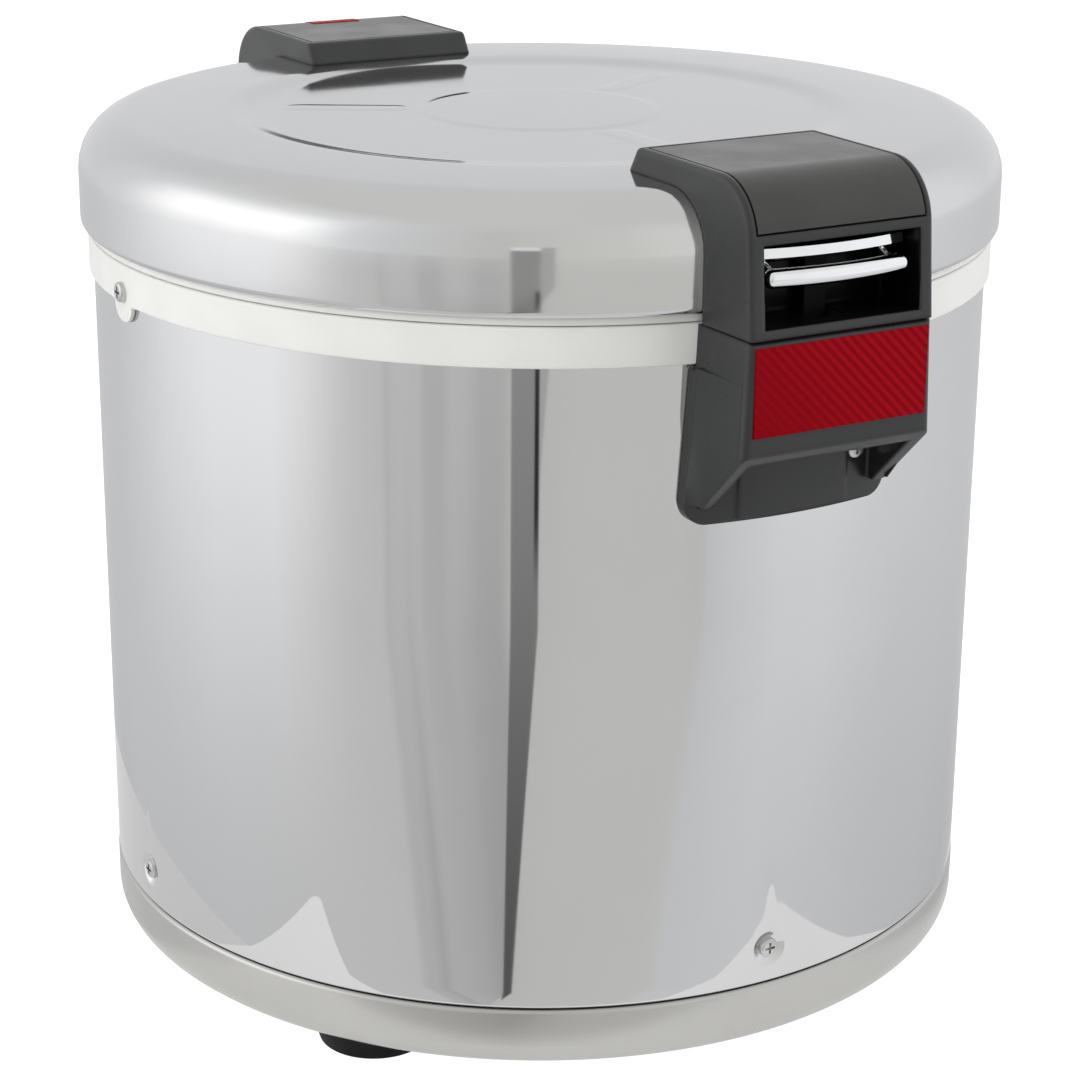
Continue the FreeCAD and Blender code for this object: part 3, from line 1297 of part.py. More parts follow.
def hinge_bracket():
    """Rear bracket with a low deck and a neck that carries the hinge barrel."""
    deck_z = HINGE_Z - HINGE_BARREL_RADIUS - HINGE_WALL - 2 * PART_FIT
    rear = bracket(deck_z, deck_z - HINGE_DECK)
    half = hinge_half_width()
    neck_back = HINGE_Y - HINGE_NECK_BACK
    neck = across([
        (neck_back - HINGE_NECK_DEPTH, deck_z - HINGE_DECK / 2),
        (neck_back, deck_z - HINGE_DECK / 2),
        (neck_back, HINGE_Z),
        (neck_back - HINGE_NECK_DEPTH / 2, HINGE_Z),
        (neck_back - HINGE_NECK_DEPTH, HINGE_Z - HINGE_BARREL_RADIUS),
    ], half)
    barrel = crossbar(HINGE_BARREL_RADIUS, -half, half, HINGE_Y, HINGE_Z)
    carrier = neck.fuse(barrel)
    room = KNUCKLE_RADIUS + KNUCKLE_GAP
    for side in (-1, 1):
        xs = sorted((side * (KNUCKLE_INNER_X - PART_FIT), side * (KNUCKLE_OUTER_X + PART_FIT)))
        carrier = carrier.cut(box(xs, (HINGE_Y - FAR, HINGE_Y + FAR), (HINGE_Z, HINGE_Z + room * 2)))
        carrier = carrier.cut(crossbar(room, xs[0], xs[1], HINGE_Y, HINGE_Z))
        carrier = carrier.cut(box(xs, (HINGE_Y, HINGE_Y + FAR), (HINGE_Z - room * 2, HINGE_Z + room * 2)))
    rear = rear.fuse(carrier).removeSplitter()
    return rear.cut(crossbar(HINGE_PIN_RADIUS + TOUCH / 2, -FAR, FAR, HINGE_Y, HINGE_Z))


def hinge_cover():
    """Rear block on the lid, hollow below so that it swings round the hinge barrel."""
    cover = lid_block(HINGE_REACH, 0)
    half = BLOCK_HALF_WIDTH - HINGE_WALL
    inner = HINGE_REACH - HINGE_WALL
    high = HINGE_Z + COVER_CAVITY_RISE
    cavity = across([
        (RIM_BORE, SEAM_Z),
        (inner, SEAM_Z),
        (inner, high, BLOCK_CORNER - HINGE_WALL),
        (RIM_BORE, high),
    ], half)
    cover = cover.cut(cavity)
    cover = cover.cut(box((-half, half), (inner - HINGE_WALL, FAR), (SEAM_Z, HINGE_Z + COVER_WALL_RISE)))
    return cover.cut(top_panel(HINGE_REACH, 0, TOP_PANEL_GROOVE))


def marker(insets, gap):
    """Curved strip at the rear end of the hinge cover's top."""
    start = HINGE_REACH - MARKER_SET_BACK
    span = (start - gap, start + MARKER_LENGTH + gap, LID_TOP_Z - BLOCK_CORNER)
    return top_strip(HINGE_REACH, 0, insets, MARKER_HALF_WIDTH + gap, span)


def hinge_top_panel():
    """Inset panel on the hinge cover, with a pocket for the marker."""
    return top_panel(HINGE_REACH, 0, 0).cut(marker((-MARKER_PROUD, MARKER_WALL), SLIP_FIT))


def hinge_marker():
    """Bare red marker let into the hinge cover's panel."""
    return marker((-MARKER_PROUD, MARKER_WALL), 0).common(column(HINGE_REACH, 0, BLOCK_TOP_Z + MARKER_PROUD))


def lid_hinge_arms():
    """Two steel arms from the lid's wall to knuckles on the hinge pin."""
    front = RIM_BORE
    middle = (KNUCKLE_INNER_X + KNUCKLE_OUTER_X) / 2
    half = (KNUCKLE_OUTER_X - KNUCKLE_INNER_X) / 2
    outline = [
        (front, HINGE_Z + KNUCKLE_RADIUS / 3),
        (HINGE_Y, HINGE_Z),
        (HINGE_Y + KNUCKLE_RADIUS / 2, HINGE_Z + KNUCKLE_RADIUS / 2),
        (LID_RADIUS + KNUCKLE_RADIUS / 2, HINGE_Z + HINGE_ARM_RISE),
        (front, HINGE_Z + HINGE_ARM_RISE),
    ]
    bore = crossbar(HINGE_PIN_RADIUS + RUN_FIT, -FAR, FAR, HINGE_Y, HINGE_Z)
    arms = []
    for side in (-1, 1):
        arm = across(outline, half)
        arm = arm.fuse(crossbar(KNUCKLE_RADIUS, -half, half, HINGE_Y, HINGE_Z))
        arm.translate(V(side * middle, 0, 0))
        arm = arm.cut(lid_envelope(TOUCH))
        arms.append(arm.cut(bore).removeSplitter())
    return Part.makeCompound(arms)


# All pieces by name
def pieces():
    """Every piece of the cooker under the name of its file."""
    made = {name: foot(x, y) for name, (x, y) in foot_places().items()}
    makers = (
        base_pan, bottom_cover, bottom_cover_screws, foot_screws, outer_shell, shell_screws, top_collar,
        collar_screws, inner_liner, inner_pot, heater_plate, heater_ring, side_heater_band,
        liner_insulation, heat_shield, shield_posts, thermostat, thermal_fuse, terminal_block,
        supply_leads, heater_leads, rear_panel, inlet_pins, switch_rocker, lid_shell, lid_rim_ring,
        lid_gasket, lid_inner_plate, inner_plate_screws, lid_insulation, block_screws, lid_handle,
        handle_top_panel, latch_pin, latch_lever, latch_hook, latch_spring, latch_bracket, latch_keeper,
        front_label_plate, hinge_pin, hinge_bracket, hinge_cover, hinge_top_panel, hinge_marker,
        lid_hinge_arms,
    )
    for maker in makers:
        made[maker.__name__] = maker()
    made["latch_bracket_screws"] = to_front(bracket_screws())
    made["hinge_bracket_screws"] = bracket_screws()
    return made


os.makedirs("parts", exist_ok=True)
for name, shape in pieces().items():
    shape.exportStep("parts/" + name + ".step")
    print(name, "solids", len(shape.Solids), "valid", shape.isValid(), "volume", round(shape.Volume))
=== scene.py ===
# %% [markdown]
# # A catering rice cooker, dressed for its portrait
# The CAD frame holds every piece at its real size. This lesson adds what the eye sees: mirror polish, satin
# brushing, moulded plastic and rolled edges. Everything is in metres, in the frame's own coordinates, with
# the latch at the front (-Y), the hinge at the rear (+Y) and the feet standing at zero height.

# %% Load the frame
import math

import bmesh
import bpy
from mathutils import Matrix, Quaternion, Vector


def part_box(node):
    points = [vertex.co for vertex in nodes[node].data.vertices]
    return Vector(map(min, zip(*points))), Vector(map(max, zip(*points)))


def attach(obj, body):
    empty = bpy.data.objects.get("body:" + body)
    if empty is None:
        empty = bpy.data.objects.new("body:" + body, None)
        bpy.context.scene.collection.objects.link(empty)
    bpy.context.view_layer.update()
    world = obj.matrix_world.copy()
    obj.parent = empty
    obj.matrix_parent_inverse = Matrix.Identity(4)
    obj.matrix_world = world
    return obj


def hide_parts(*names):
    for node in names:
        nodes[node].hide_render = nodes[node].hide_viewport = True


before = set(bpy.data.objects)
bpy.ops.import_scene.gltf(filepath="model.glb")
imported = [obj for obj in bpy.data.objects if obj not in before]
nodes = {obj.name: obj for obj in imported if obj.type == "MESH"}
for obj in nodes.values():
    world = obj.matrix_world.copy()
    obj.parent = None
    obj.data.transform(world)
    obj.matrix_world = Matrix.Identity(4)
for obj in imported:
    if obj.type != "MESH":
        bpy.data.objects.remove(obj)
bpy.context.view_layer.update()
MM = 0.001

# %% [markdown]
# ## The camera
# A product portrait is taken from far off with a long lens, so the sides stay nearly upright. The camera
# stands to the left of the latch and a little above the lid, and it is rolled by less than half a degree. A
# constraint could aim it. A rotation worked out once does the same and leaves nothing live in the scene.

# %% Place the camera
CAMERA_AT = Vector((-0.6193, -1.0727, 0.5960))
LOOK_AT = Vector((0.0, 0.0, 0.1740))
LENS = 93.67
SENSOR = 36.0
SHIFT = (0.00255, 0.0060)
ROLL = math.radians(0.435)

camera_data = bpy.data.cameras.new("portrait_camera")
camera_data.sensor_width = SENSOR
camera_data.lens = LENS
camera_data.shift_x, camera_data.shift_y = SHIFT
camera = bpy.data.objects.new("portrait_camera", camera_data)
camera.location = CAMERA_AT
camera.rotation_mode = "QUATERNION"
camera.rotation_quaternion = (LOOK_AT - CAMERA_AT).to_track_quat("-Z", "Y") @ Quaternion((0, 0, 1), ROLL)
bpy.context.scene.collection.objects.link(camera)
bpy.context.scene.camera = camera
bpy.context.scene.view_settings.view_transform = "Standard"
print("camera", round((LOOK_AT - CAMERA_AT).length, 3), "m away")

# %% [markdown]
# ## Small helpers for shader nodes
# A node tree is quicker to read when a node, its settings and its inputs fit in one call. An input that is
# given a socket is linked to it, and any other value is set on it.

# %% Node helpers
def add_node(tree, kind, inputs=None, **settings):
    """A new shader node, with its settings made and its inputs linked or filled."""
    made = tree.nodes.new("ShaderNode" + kind)
    for key, value in settings.items():
        setattr(made, key, value)
    for key, value in (inputs or {}).items():
        if isinstance(value, bpy.types.NodeSocket):
            tree.links.new(value, made.inputs[key])
        else:
            made.inputs[key].default_value = value
    return made


def calc(tree, operation, *values):
    """The result of one Math node."""
    return add_node(tree, "Math", dict(enumerate(values)), operation=operation).outputs[0]


def ease(tree, value, low, high, start=0.0, end=1.0):
    """A smooth change from start to end as a value goes from low to high."""
    inputs = dict(enumerate((value, low, high, start, end)))
    return add_node(tree, "MapRange", inputs, interpolation_type="SMOOTHSTEP").outputs["Result"]


def blend_colours(tree, share, first, second):
    """Two colours mixed by a share from 0 to 1."""
    mixed = add_node(tree, "Mix", {"Factor": share, 6: first, 7: second}, data_type="RGBA")
    return mixed.outputs[2]


def ramp(tree, value, stops):
    """A colour read off a row of (place, colour) stops."""
    made = add_node(tree, "ValToRGB", {"Fac": value})
    elements = made.color_ramp.elements
    while len(elements) < len(stops):
        elements.new(0.5)
    for element, (place, colour) in zip(elements, sorted(stops)):
        element.position = place
        element.color = colour
    return made.outputs["Color"]


# %% [markdown]
# ## The studio
# Mirror-polished steel has hardly a colour of its own: it shows the room. The room could be built from hung
# sheets, but each would need aiming, so it is painted in the world's own shader instead. Two angles place
# everything in it: how far round from the camera's side of the object, positive to the camera's right, and
# how high.

# %% Measure directions in the room
CAMERA_SIDE = math.degrees(math.atan2(CAMERA_AT.y, CAMERA_AT.x))

world = bpy.data.worlds.new("studio_room")
world.use_nodes = True
bpy.context.scene.world = world
room = world.node_tree
direction = add_node(room, "TexCoord").outputs["Generated"]
turn_inputs = {"Vector": direction, "Angle": math.radians(round(-CAMERA_SIDE))}
turned_direction = add_node(room, "VectorRotate", turn_inputs, rotation_type="Z_AXIS").outputs[0]
axes = add_node(room, "SeparateXYZ", {0: turned_direction}).outputs
around = calc(room, "DEGREES", calc(room, "ARCTAN2", axes[1], axes[0]))
height = calc(room, "DEGREES", calc(room, "ARCSINE", axes[2]))
print("the camera stands at", round(CAMERA_SIDE), "degrees")

# %% [markdown]
# ## The walls of the room
# An upright polished wall shows the room as upright bands, so each wall is a row of greys from one angle to
# the next, warm in front and cool at the sides. The lower wall is a little darker, and a softer upper room
# ends in the ceiling. Below one level the bands of both sides lean in towards the gap that is cut next.

# %% Choose the greys
WARM = (1.0, 1.0, 0.965)
COOL = (0.985, 0.99, 1.005)
PLAIN = (0.995, 0.995, 0.985)


def grey_stops(runs):
    """Ramp stops from runs of one tint, each a row of (angle, brightness)."""
    stops = []
    for tint, levels in runs:
        for angle, level in levels:
            stops.append((angle / 360 + 0.5, (*(level * part for part in tint), 1.0)))
    return stops


HIGH_WALL = [
    (COOL, [(-180, 0.56), (-137, 0.76), (-110, 1.00), (-90, 1.13), (-70, 1.15)]),
    (PLAIN, [(-60, 1.00), (-52, 0.85), (-46, 0.77), (-39, 0.725), (-38.2, 0.72), (-37.7, 0.58),
             (-36.9, 0.70), (-34, 0.72), (-29.2, 0.70), (-28.2, 0.625), (-24, 0.615), (-21.6, 0.69),
             (-18, 0.685), (-14, 0.61), (-9, 0.61)]),
    (WARM, [(-7, 0.66), (1, 0.70), (10, 0.73), (36, 0.73), (41.5, 0.69), (42.5, 0.69)]),
    (COOL, [(43.6, 0.77), (50, 0.86), (64, 0.985), (78, 1.00), (129, 0.81), (180, 0.56)]),
]
LOW_WALL = [
    (COOL, [(-180, 0.56), (-150, 0.62), (-137, 0.70), (-95, 0.74)]),
    (PLAIN, [(-60, 0.73), (-46, 0.72), (-40, 0.71), (-38.2, 0.70), (-37.6, 0.54), (-36.8, 0.61),
             (-34.2, 0.615), (-33, 0.53), (-31.8, 0.54), (-30.5, 0.62), (-26, 0.60), (-21, 0.56),
             (-17.5, 0.505), (-9, 0.46)]),
    (WARM, [(-7, 0.62), (1, 0.69), (10, 0.71), (36, 0.72), (40, 0.735)]),
    (COOL, [(42, 0.77), (50, 0.79), (64, 0.82), (78, 0.81), (105, 0.74), (129, 0.69), (150, 0.60),
            (180, 0.56)]),
]
UPPER_ROOM = [
    (COOL, [(-180, 0.77), (-140, 0.82), (-118, 0.96), (-77, 1.12), (-50, 1.00), (-35, 0.85)]),
    (WARM, [(-10, 0.73), (20, 0.82), (30, 0.88)]),
    (COOL, [(60, 0.95), (100, 1.02), (120, 0.99), (140, 0.86), (180, 0.77)]),
]
CEILING = (0.79, 0.79, 0.775, 1.0)
print("greys of the room:", [len(grey_stops(runs)) for runs in (HIGH_WALL, LOW_WALL, UPPER_ROOM)])

# %% Paint the walls
BEND_LEVEL = -20.5
PANEL_LEAN = 1.3
GAP_LEFT = -6.6
GAP_RIGHT = 0.3
LEFT_LEAN = 0.2
RIGHT_LEAN = 0.84
SIDE_CHANGE = (-2.0, -1.0)
WALL_BLEND = (-27.0, -14.0)
UPPER_BLEND = (-12.0, -3.0)
CEILING_BLEND = (32.0, 60.0)


def wall_colours(angle, runs):
    """The greys of a wall, read at an angle in degrees."""
    return ramp(room, calc(room, "ADD", calc(room, "DIVIDE", angle, 360.0), 0.5), grey_stops(runs))


below = calc(room, "MINIMUM", calc(room, "SUBTRACT", height, BEND_LEVEL), 0.0)
left_edge = calc(room, "ADD", calc(room, "MULTIPLY", below, LEFT_LEAN), GAP_LEFT)
right_edge = calc(room, "ADD", calc(room, "MULTIPLY", below, RIGHT_LEAN), GAP_RIGHT)
from_left = calc(room, "SUBTRACT", around, left_edge)
from_right = calc(room, "SUBTRACT", around, right_edge)
lean = ease(room, from_right, *SIDE_CHANGE, PANEL_LEAN, -PANEL_LEAN)
slanted = calc(room, "ADD", around, calc(room, "MULTIPLY", below, lean))
low_colours = wall_colours(slanted, LOW_WALL)
high_colours = wall_colours(slanted, HIGH_WALL)
walls = blend_colours(room, ease(room, height, *WALL_BLEND), low_colours, high_colours)
upper = wall_colours(around, UPPER_ROOM)
upper = blend_colours(room, ease(room, height, *CEILING_BLEND), upper, CEILING)
walls = blend_colours(room, ease(room, height, *UPPER_BLEND), walls, upper)
print("the bands lean below", BEND_LEVEL, "degrees")

# %% [markdown]
# ## The dark gap and the window
# Two backdrop sheets hang side by side, and the gap between them stands as the dark stripe in the polished
# wall: grey inside, with a black line at its right edge and a narrow grey strip beside that. A large soft
# window at the left whitens the lid's shoulder. Every edge is a smooth step, because a plain one looks cut.

# %% Cut the gap
GAP_EDGE = 0.25
GAP_TOP = (9.0, 13.0)
GAP_FADE = (-29.0, -13.0)
CAP_LEVEL = (4.0, 8.0)
LINE_WIDTH = 1.15
LINE_FOOT = (-20.0, -18.0)
LINE_TOP = (-15.2, -14.2)
STRIP_WIDTH = 3.4
STRIP_FADE = (-18.5, -13.0)
GAP_DARK = (0.115, 0.115, 0.115, 1.0)
GAP_GREY = (0.37, 0.37, 0.365, 1.0)
BLACK_LINE = (0.02, 0.02, 0.02, 1.0)
STRIP_GREY = (0.52, 0.52, 0.51, 1.0)
PALE_CAP = (0.95, 0.95, 0.95, 1.0)

under_top = ease(room, height, *GAP_TOP, 1.0, 0.0)
strip_end = calc(room, "SUBTRACT", from_right, ease(room, height, *STRIP_FADE, 0.0, STRIP_WIDTH))
in_strip = calc(room, "MULTIPLY", ease(room, from_right, -GAP_EDGE, GAP_EDGE), under_top)
in_strip = calc(room, "MULTIPLY", in_strip, ease(room, strip_end, -GAP_EDGE, GAP_EDGE, 1.0, 0.0))
walls = blend_colours(room, in_strip, walls, STRIP_GREY)

gap_tone = blend_colours(room, ease(room, height, *GAP_FADE), GAP_DARK, GAP_GREY)
gap_tone = blend_colours(room, ease(room, height, *CAP_LEVEL), gap_tone, PALE_CAP)
in_line = ease(room, from_right, -LINE_WIDTH - GAP_EDGE, -LINE_WIDTH + GAP_EDGE)
in_line = calc(room, "MULTIPLY", in_line, ease(room, height, *LINE_FOOT))
in_line = calc(room, "MULTIPLY", in_line, ease(room, height, *LINE_TOP, 1.0, 0.0))
gap_tone = blend_colours(room, in_line, gap_tone, BLACK_LINE)
in_gap = calc(room, "MULTIPLY", ease(room, from_left, -GAP_EDGE, GAP_EDGE), under_top)
in_gap = calc(room, "MULTIPLY", in_gap, ease(room, from_right, -GAP_EDGE, GAP_EDGE, 1.0, 0.0))
walls = blend_colours(room, in_gap, walls, gap_tone)
print("gap from", GAP_LEFT, "to", GAP_RIGHT, "degrees")

# %% Open the window
WINDOW_LEFT = (-124.0, -94.0)
WINDOW_RIGHT = (-66.0, -44.0)
WINDOW_FOOT = (-22.0, 15.0)
WINDOW_TOP = (22.0, 44.0)
WINDOW_GLOW = (1.6, 1.6, 1.6, 1.0)

in_window = ease(room, around, *WINDOW_LEFT)
in_window = calc(room, "MULTIPLY", in_window, ease(room, around, *WINDOW_RIGHT, 1.0, 0.0))
in_window = calc(room, "MULTIPLY", in_window, ease(room, height, *WINDOW_FOOT))
in_window = calc(room, "MULTIPLY", in_window, ease(room, height, *WINDOW_TOP, 1.0, 0.0))
walls = blend_colours(room, in_window, walls, WINDOW_GLOW)
print("window from", WINDOW_LEFT[0], "to", WINDOW_RIGHT[1], "degrees")

# %% Light the scene with the room
WHITE = (1.0, 1.0, 1.0, 1.0)
AMBIENT_SHARE = 0.74

ray = add_node(room, "LightPath").outputs
dimmed = ease(room, ray["Is Diffuse Ray"], 0.0, 1.0, 1.0, AMBIENT_SHARE)
background = room.nodes["Background"]
room.links.new(blend_colours(room, ray["Is Camera Ray"], walls, WHITE), background.inputs["Color"])
room.links.new(dimmed, background.inputs["Strength"])
print("matt surfaces get", AMBIENT_SHARE, "of the room's light")

# %% [markdown]
# ## Floor, table and board
# The object stands on a pale floor, and the camera sees only that. The polished wall sees two more sheets: a
# white board, whose front corners show as two pale wedges low in the wall, and a round table, whose edge
# rises at the left. Paint alone would go dark under the object, so the sheets also glow a little.

# %% A sheet of the stage
SHEET_STEP = 0.6 * MM
SHEET_ROUGHNESS = 0.9
TO_CAMERA = Matrix.Rotation(math.radians(CAMERA_SIDE), 3, "Z")


def stage_sheet(name, bm, level, paint, glow, seen_by_camera):
    """A flat sheet of the stage, drawn towards +X, turned to the camera's side and laid some steps down."""
    bmesh.ops.rotate(bm, verts=bm.verts[:], cent=(0, 0, 0), matrix=TO_CAMERA)
    bmesh.ops.translate(bm, verts=bm.verts[:], vec=(0, 0, -level * SHEET_STEP))
    mesh = bpy.data.meshes.new(name)
    bm.to_mesh(mesh)
    bm.free()
    coat = bpy.data.materials.new(name + "_paint")
    coat.use_nodes = True
    shader = coat.node_tree.nodes["Principled BSDF"]
    shader.inputs["Base Color"].default_value = paint
    shader.inputs["Roughness"].default_value = SHEET_ROUGHNESS
    shader.inputs["Specular IOR Level"].default_value = 0.0
    shader.inputs["Emission Color"].default_value = WHITE
    shader.inputs["Emission Strength"].default_value = glow
    if seen_by_camera:
        direct = add_node(coat.node_tree, "LightPath").outputs["Is Camera Ray"]
        strength = calc(coat.node_tree, "MULTIPLY", direct, glow)
        coat.node_tree.links.new(strength, shader.inputs["Emission Strength"])
    mesh.materials.append(coat)
    sheet = bpy.data.objects.new(name, mesh)
    sheet.visible_camera = seen_by_camera
    sheet.visible_glossy = not seen_by_camera
    sheet.visible_shadow = seen_by_camera
    bpy.context.scene.collection.objects.link(sheet)
    return sheet


# %% Lay the floor, the table and the board
FLOOR_SIZE = 12.0
FLOOR_PAINT = (0.46, 0.46, 0.46, 1.0)
FLOOR_GLOW = 0.82
SHEET_PAINT = (0.34, 0.34, 0.34, 1.0)
TABLE_RADIUS = 0.268
TABLE_AT = (-0.038, -0.042)
TABLE_SIDES = 128
TABLE_GLOW = 0.44
BOARD_CORNER = 0.02
BOARD_CORNER_STEPS = 8
BOARD_GLOW = 0.62
BOARD_OUTLINE = [
    (-0.24, -0.16), (0.17, -0.211), (0.266, -0.240), (0.234, -0.125), (0.238, 0.0), (0.243, 0.13),
    (0.236, 0.252), (0.12, 0.224), (-0.24, 0.20),
]

floor_mesh = bmesh.new()
bmesh.ops.create_grid(floor_mesh, x_segments=1, y_segments=1, size=FLOOR_SIZE / 2)
floor = stage_sheet("pale_floor", floor_mesh, 3, FLOOR_PAINT, FLOOR_GLOW, True)

table_mesh = bmesh.new()
bmesh.ops.create_circle(table_mesh, cap_ends=True, segments=TABLE_SIDES, radius=TABLE_RADIUS)
bmesh.ops.translate(table_mesh, verts=table_mesh.verts[:], vec=(*TABLE_AT, 0))
table = stage_sheet("round_table", table_mesh, 2, SHEET_PAINT, TABLE_GLOW, False)

board_mesh = bmesh.new()
board_mesh.faces.new([board_mesh.verts.new((*corner, 0)) for corner in BOARD_OUTLINE])
bmesh.ops.bevel(board_mesh, geom=board_mesh.verts[:], offset=BOARD_CORNER, offset_type="OFFSET",
                segments=BOARD_CORNER_STEPS, profile=0.5, affect="VERTICES", material=-1)
board = stage_sheet("white_board", board_mesh, 1, SHEET_PAINT, BOARD_GLOW, False)
print("stage:", floor.name, table.name, board.name)

# %% [markdown]
# ## Lamps
# Soft lamps overhead and at both sides lift the plastic pieces. Polished metal would show them as white
# squares, so reflections don't see them. Each row gives a place, a width in metres and a power in watts.

# %% Hang the lamps
LAMPS = {
    "overhead_softbox": ((-0.3, -0.4, 2.3), 1.8, 18.0),
    "left_softbox": ((-2.0, -0.2, 1.1), 1.2, 13.0),
    "right_softbox": ((1.6, -1.2, 1.1), 1.2, 14.0),
}
for lamp_name, (place, size, power) in LAMPS.items():
    lamp_data = bpy.data.lights.new(lamp_name, "AREA")
    lamp_data.size = size
    lamp_data.energy = power
    lamp = bpy.data.objects.new(lamp_name, lamp_data)
    lamp.location = place
    lamp.rotation_mode = "QUATERNION"
    lamp.rotation_quaternion = (LOOK_AT - lamp.location).to_track_quat("-Z", "Y")
    lamp.visible_glossy = False
    bpy.context.scene.collection.objects.link(lamp)
print("lamps:", *LAMPS)

# %% [markdown]
# ## Effects that several finishes share
# Spun and polished metal carries fine rings, handled metal carries smudges, and moulded plastic carries a
# spark-eroded grain. Each could be drawn again in every material. As a node group it is built once: it takes
# a place on the piece and gives masks or heights, and the material decides what to do with them.

# %% Node groups
DRIFT_SLANT = 0.7
DRIFT_RATE = 9.0
SMUDGE_RANGE = (0.36, 0.72)
TONE_SCALE = 38.0
TONE_RANGE = (0.3, 0.7)


def effect_group(name, inputs, outputs):
    """An empty node group with its sockets, and the sockets to build from and to."""
    tree = bpy.data.node_groups.new(name, "ShaderNodeTree")
    for label, kind in inputs:
        tree.interface.new_socket(label, in_out="INPUT", socket_type="NodeSocket" + kind)
    for label in outputs:
        tree.interface.new_socket(label, in_out="OUTPUT", socket_type="NodeSocketFloat")
    return tree, tree.nodes.new("NodeGroupInput").outputs, tree.nodes.new("NodeGroupOutput").inputs


def turned_rings():
    """Fine rings at constant radius and height, as a lathe or a polishing wheel leaves them."""
    inputs = [("Place", "Vector"), ("Spacing", "Float")]
    tree, given, result = effect_group("turned_rings", inputs, ["Rings"])
    at = add_node(tree, "SeparateXYZ", {0: given["Place"]}).outputs
    square = calc(tree, "ADD", calc(tree, "POWER", at[0], 2.0), calc(tree, "POWER", at[1], 2.0))
    across = calc(tree, "DIVIDE", calc(tree, "SQRT", square), given["Spacing"])
    up = calc(tree, "DIVIDE", at[2], given["Spacing"])
    sideways = calc(tree, "ADD", at[0], calc(tree, "MULTIPLY", at[1], DRIFT_SLANT))
    drift = calc(tree, "MULTIPLY", sideways, DRIFT_RATE)
    line = add_node(tree, "CombineXYZ", {0: across, 1: up, 2: drift}).outputs[0]
    noise = add_node(tree, "TexNoise", {"Vector": line, "Scale": 1.0, "Detail": 3.0, "Roughness": 0.6})
    tree.links.new(noise.outputs[0], result["Rings"])
    return tree


def smudges():
    """Soft patches left by hands and wiping."""
    tree, given, result = effect_group("smudges", [("Place", "Vector"), ("Scale", "Float")], ["Smudge"])
    noise = add_node(tree, "TexNoise", {"Vector": given["Place"], "Scale": given["Scale"], "Detail": 5.0,
                                        "Roughness": 0.62, "Distortion": 0.6})
    tree.links.new(ease(tree, noise.outputs[0], *SMUDGE_RANGE), result["Smudge"])
    return tree


def moulded_grain():
    """The fine grain of a spark-eroded mould, and a slow drift of tone."""
    inputs = [("Place", "Vector"), ("Scale", "Float")]
    tree, given, result = effect_group("moulded_grain", inputs, ["Height", "Tone"])
    grain_inputs = {"Vector": given["Place"], "Scale": given["Scale"]}
    cells = add_node(tree, "TexVoronoi", grain_inputs, feature="SMOOTH_F1")
    drift = add_node(tree, "TexNoise", {"Vector": given["Place"], "Scale": TONE_SCALE, "Detail": 4.0})
    tree.links.new(cells.outputs["Distance"], result["Height"])
    tree.links.new(ease(tree, drift.outputs[0], *TONE_RANGE), result["Tone"])
    return tree


RINGS = turned_rings()
SMUDGES = smudges()
GRAIN = moulded_grain()
print("groups:", [tree.name for tree in (RINGS, SMUDGES, GRAIN)])

# %% [markdown]
# ## A finish from its parts
# Every finish starts the same way: a Principled shader with its plain numbers set on its own sockets, and
# Object coordinates to place the detail, because they stay with a piece as it moves. What changes over the
# surface is linked afterwards.

# %% Finish helpers
def new_finish(name, **sockets):
    """A material, its tree, its shader and the object's own coordinates."""
    made = bpy.data.materials.new(name)
    made.use_nodes = True
    tree = made.node_tree
    shader = tree.nodes["Principled BSDF"]
    for socket, value in sockets.items():
        shader.inputs[socket.replace("_", " ")].default_value = value
    return made, tree, shader, add_node(tree, "TexCoord").outputs["Object"]


def effect(tree, group, inputs):
    """A shared effect placed in a material."""
    return add_node(tree, "Group", inputs, node_tree=group).outputs


def add_bump(tree, shader, height_socket, depth):
    """Bends the shading by a height, given in metres from dark to light."""
    bump = add_node(tree, "Bump", {"Height": height_socket, "Distance": depth, "Strength": 1.0})
    tree.links.new(bump.outputs[0], shader.inputs["Normal"])
    return bump


def rgb(red, green, blue):
    """A colour from 0 to 255 display values, as the linear numbers a shader takes."""
    def linear(value):
        share = value / 255
        return share / 12.92 if share <= 0.04045 else ((share + 0.055) / 1.055) ** 2.4
    return (linear(red), linear(green), linear(blue), 1.0)


# %% [markdown]
# ## Metals
# One recipe covers the metals: a metallic shader, fine rings from polishing or spinning, and smudges that
# lift the roughness. Mirror polish has hardly any of either, the satin pan is rough all over, and small
# screws have neither a clean mirror nor long lines. A recipe with numbers keeps eight metals alike in kind.

# %% Metal finishes
RING_SHARE = 0.5


def metal(name, light, dark, roughness, spread, spacing, depth, smudge_scale):
    """A metal with rings this far apart and this deep, and a roughness that spreads over its smudges."""
    made, tree, shader, place = new_finish(name, Metallic=1.0)
    rings = effect(tree, RINGS, {"Place": place, "Spacing": spacing})["Rings"]
    smudge = effect(tree, SMUDGES, {"Place": place, "Scale": smudge_scale})["Smudge"]
    tree.links.new(blend_colours(tree, smudge, light, dark), shader.inputs["Base Color"])
    uneven = calc(tree, "ADD", smudge, calc(tree, "MULTIPLY", rings, RING_SHARE))
    rough = calc(tree, "ADD", calc(tree, "MULTIPLY", uneven, spread), roughness)
    tree.links.new(rough, shader.inputs["Roughness"])
    add_bump(tree, shader, rings, depth)
    return made


